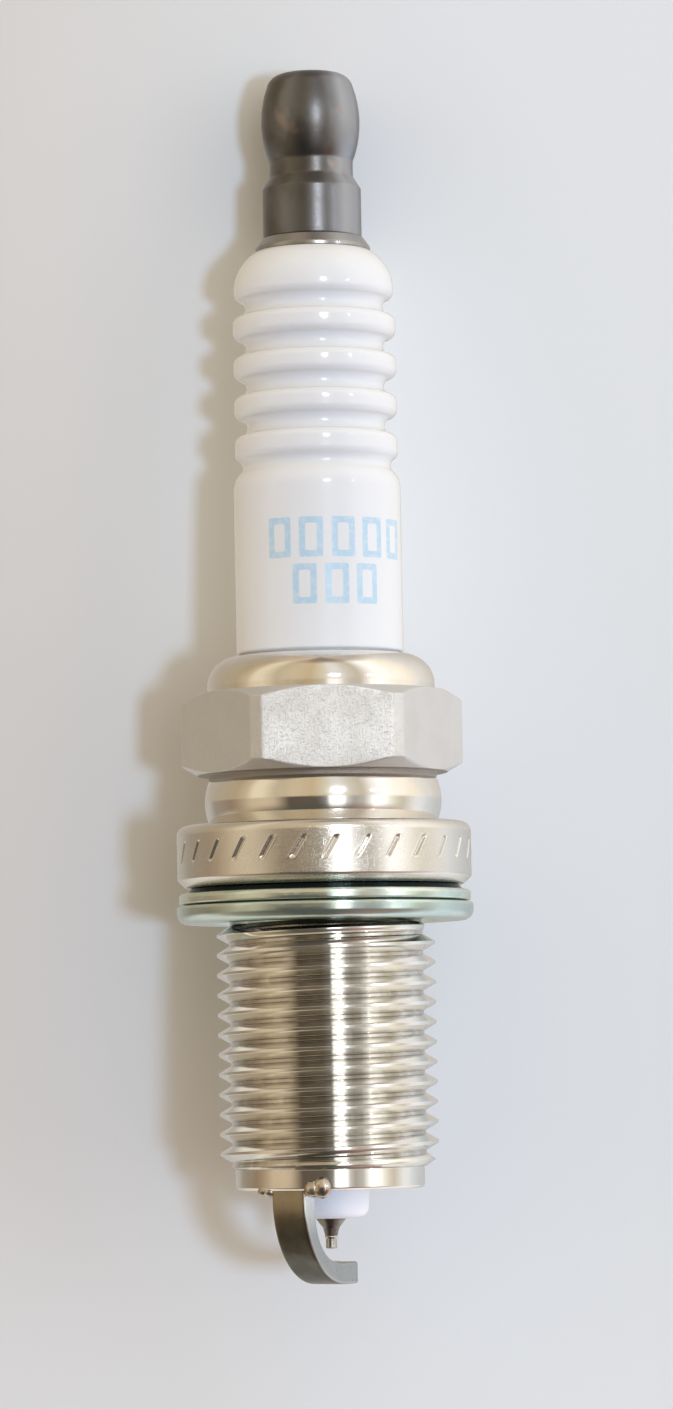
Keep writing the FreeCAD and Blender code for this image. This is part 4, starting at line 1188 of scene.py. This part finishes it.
def studio_colour(look):
    """The studio's colour in each direction."""
    direction = look.add("ShaderNodeTexCoord").outputs["Generated"]
    right, away, up = look.add("ShaderNodeSeparateXYZ", [(0, direction)]).outputs
    azimuth = look.math("ARCTAN2", right, look.math("MULTIPLY", away, -1.0))
    share = look.gain(azimuth, 1 / TURN, 0.5)
    whole = studio_ramp(look, share, LEVEL_STUDIO)
    for stops, start, end in STUDIO_FADES:
        whole = look.blend(look.span(up, start, end), whole, studio_ramp(look, share, stops))
    return whole


def make_world():
    """A studio painted on the sky; the camera itself sees a plain pale wall."""
    world = bpy.data.worlds.new("studio")
    bpy.context.scene.world = world
    world.use_nodes = True
    look = Wiring(world.node_tree)
    look.tree.nodes.clear()
    path = look.add("ShaderNodeLightPath")
    strength = look.gain(path.outputs["Is Diffuse Ray"], AMBIENT_GAIN, 1.0)
    studio = look.add("ShaderNodeBackground", enumerate((studio_colour(look), strength)))
    wall = look.add("ShaderNodeBackground", enumerate((BACKGROUND, 1.0)))
    seen = look.mixed(path.outputs["Is Camera Ray"], studio.outputs[0], wall.outputs[0])
    look.add("ShaderNodeOutputWorld", [("Surface", seen)])


LAMP_DISTANCE = 0.9
LAMP_TARGET = Vector((0, 0, 0.012))


def add_panel(name, azimuth, elevation, size, watts, colour):
    """A soft rectangular lamp that faces the plug's middle."""
    light = bpy.data.lights.new(name, "AREA")
    light.shape = "RECTANGLE"
    light.size, light.size_y = size
    light.energy = watts
    light.color = colour
    lamp = placed(name, light)
    turn = math.radians(azimuth)
    rise = math.radians(elevation)
    outward = Vector((math.sin(turn) * math.cos(rise), -math.cos(turn) * math.cos(rise), math.sin(rise)))
    lamp.location = LAMP_TARGET + outward * LAMP_DISTANCE
    lamp.rotation_euler = (-outward).to_track_quat("-Z", "Y").to_euler()
    return lamp


def make_lamps():
    """Two lamps that light the surfaces, and two that only glint in them."""
    key = add_panel("key_panel", 17.5, -6, (0.09, 0.10), 3.4, (0.46, 0.655, 1.0))
    fill = add_panel("left_fill", -75.0, 5, (0.6, 0.9), 1.3, (0.74, 0.76, 1.0))
    glint = add_panel("glint_panel", 12.0, 14.0, (0.12, 0.12), 1.5, (0.85, 0.93, 1.0))
    side_glint = add_panel("side_glint_panel", 49.0, 13.0, (0.05, 0.06), 0.2, (0.9, 0.95, 1.0))
    for lamp in (key, fill):
        lamp.visible_glossy = False
    for lamp in (glint, side_glint):
        lamp.visible_diffuse = False


# ---- camera
CAMERA_DISTANCE = 0.330
CAMERA_HEIGHT = -0.012
CAMERA_AZIMUTH = math.radians(-2.55)
CAMERA_ROLL = math.radians(-1.09)
SENSOR = 36.0
FRAME_PIXELS_HIGH = 1409
PIXELS_PER_MM = 15.9
SHIFT_RIGHT = 0.00575
SHIFT_UP = 0.2646


def make_camera():
    """A long lens level with the thread, shifted up to frame the whole plug."""
    data = bpy.data.cameras.new("camera")
    data.sensor_width = SENSOR
    data.clip_start = 0.01
    frame_height = FRAME_PIXELS_HIGH / PIXELS_PER_MM * MM
    data.lens = SENSOR * CAMERA_DISTANCE / frame_height
    data.shift_x = SHIFT_RIGHT
    data.shift_y = SHIFT_UP
    camera = placed("camera", data)
    camera.location = (
        math.sin(CAMERA_AZIMUTH) * CAMERA_DISTANCE,
        -math.cos(CAMERA_AZIMUTH) * CAMERA_DISTANCE,
        CAMERA_HEIGHT,
    )
    level = Matrix.Rotation(CAMERA_AZIMUTH, 3, "Z") @ Matrix.Rotation(QUARTER, 3, "X")
    camera.rotation_euler = (level @ Matrix.Rotation(CAMERA_ROLL, 3, "Z")).to_euler()
    bpy.context.scene.camera = camera


make_floor()
make_world()
make_lamps()
make_camera()
bpy.context.scene.view_settings.view_transform = "Standard"

bpy.context.view_layer.update()
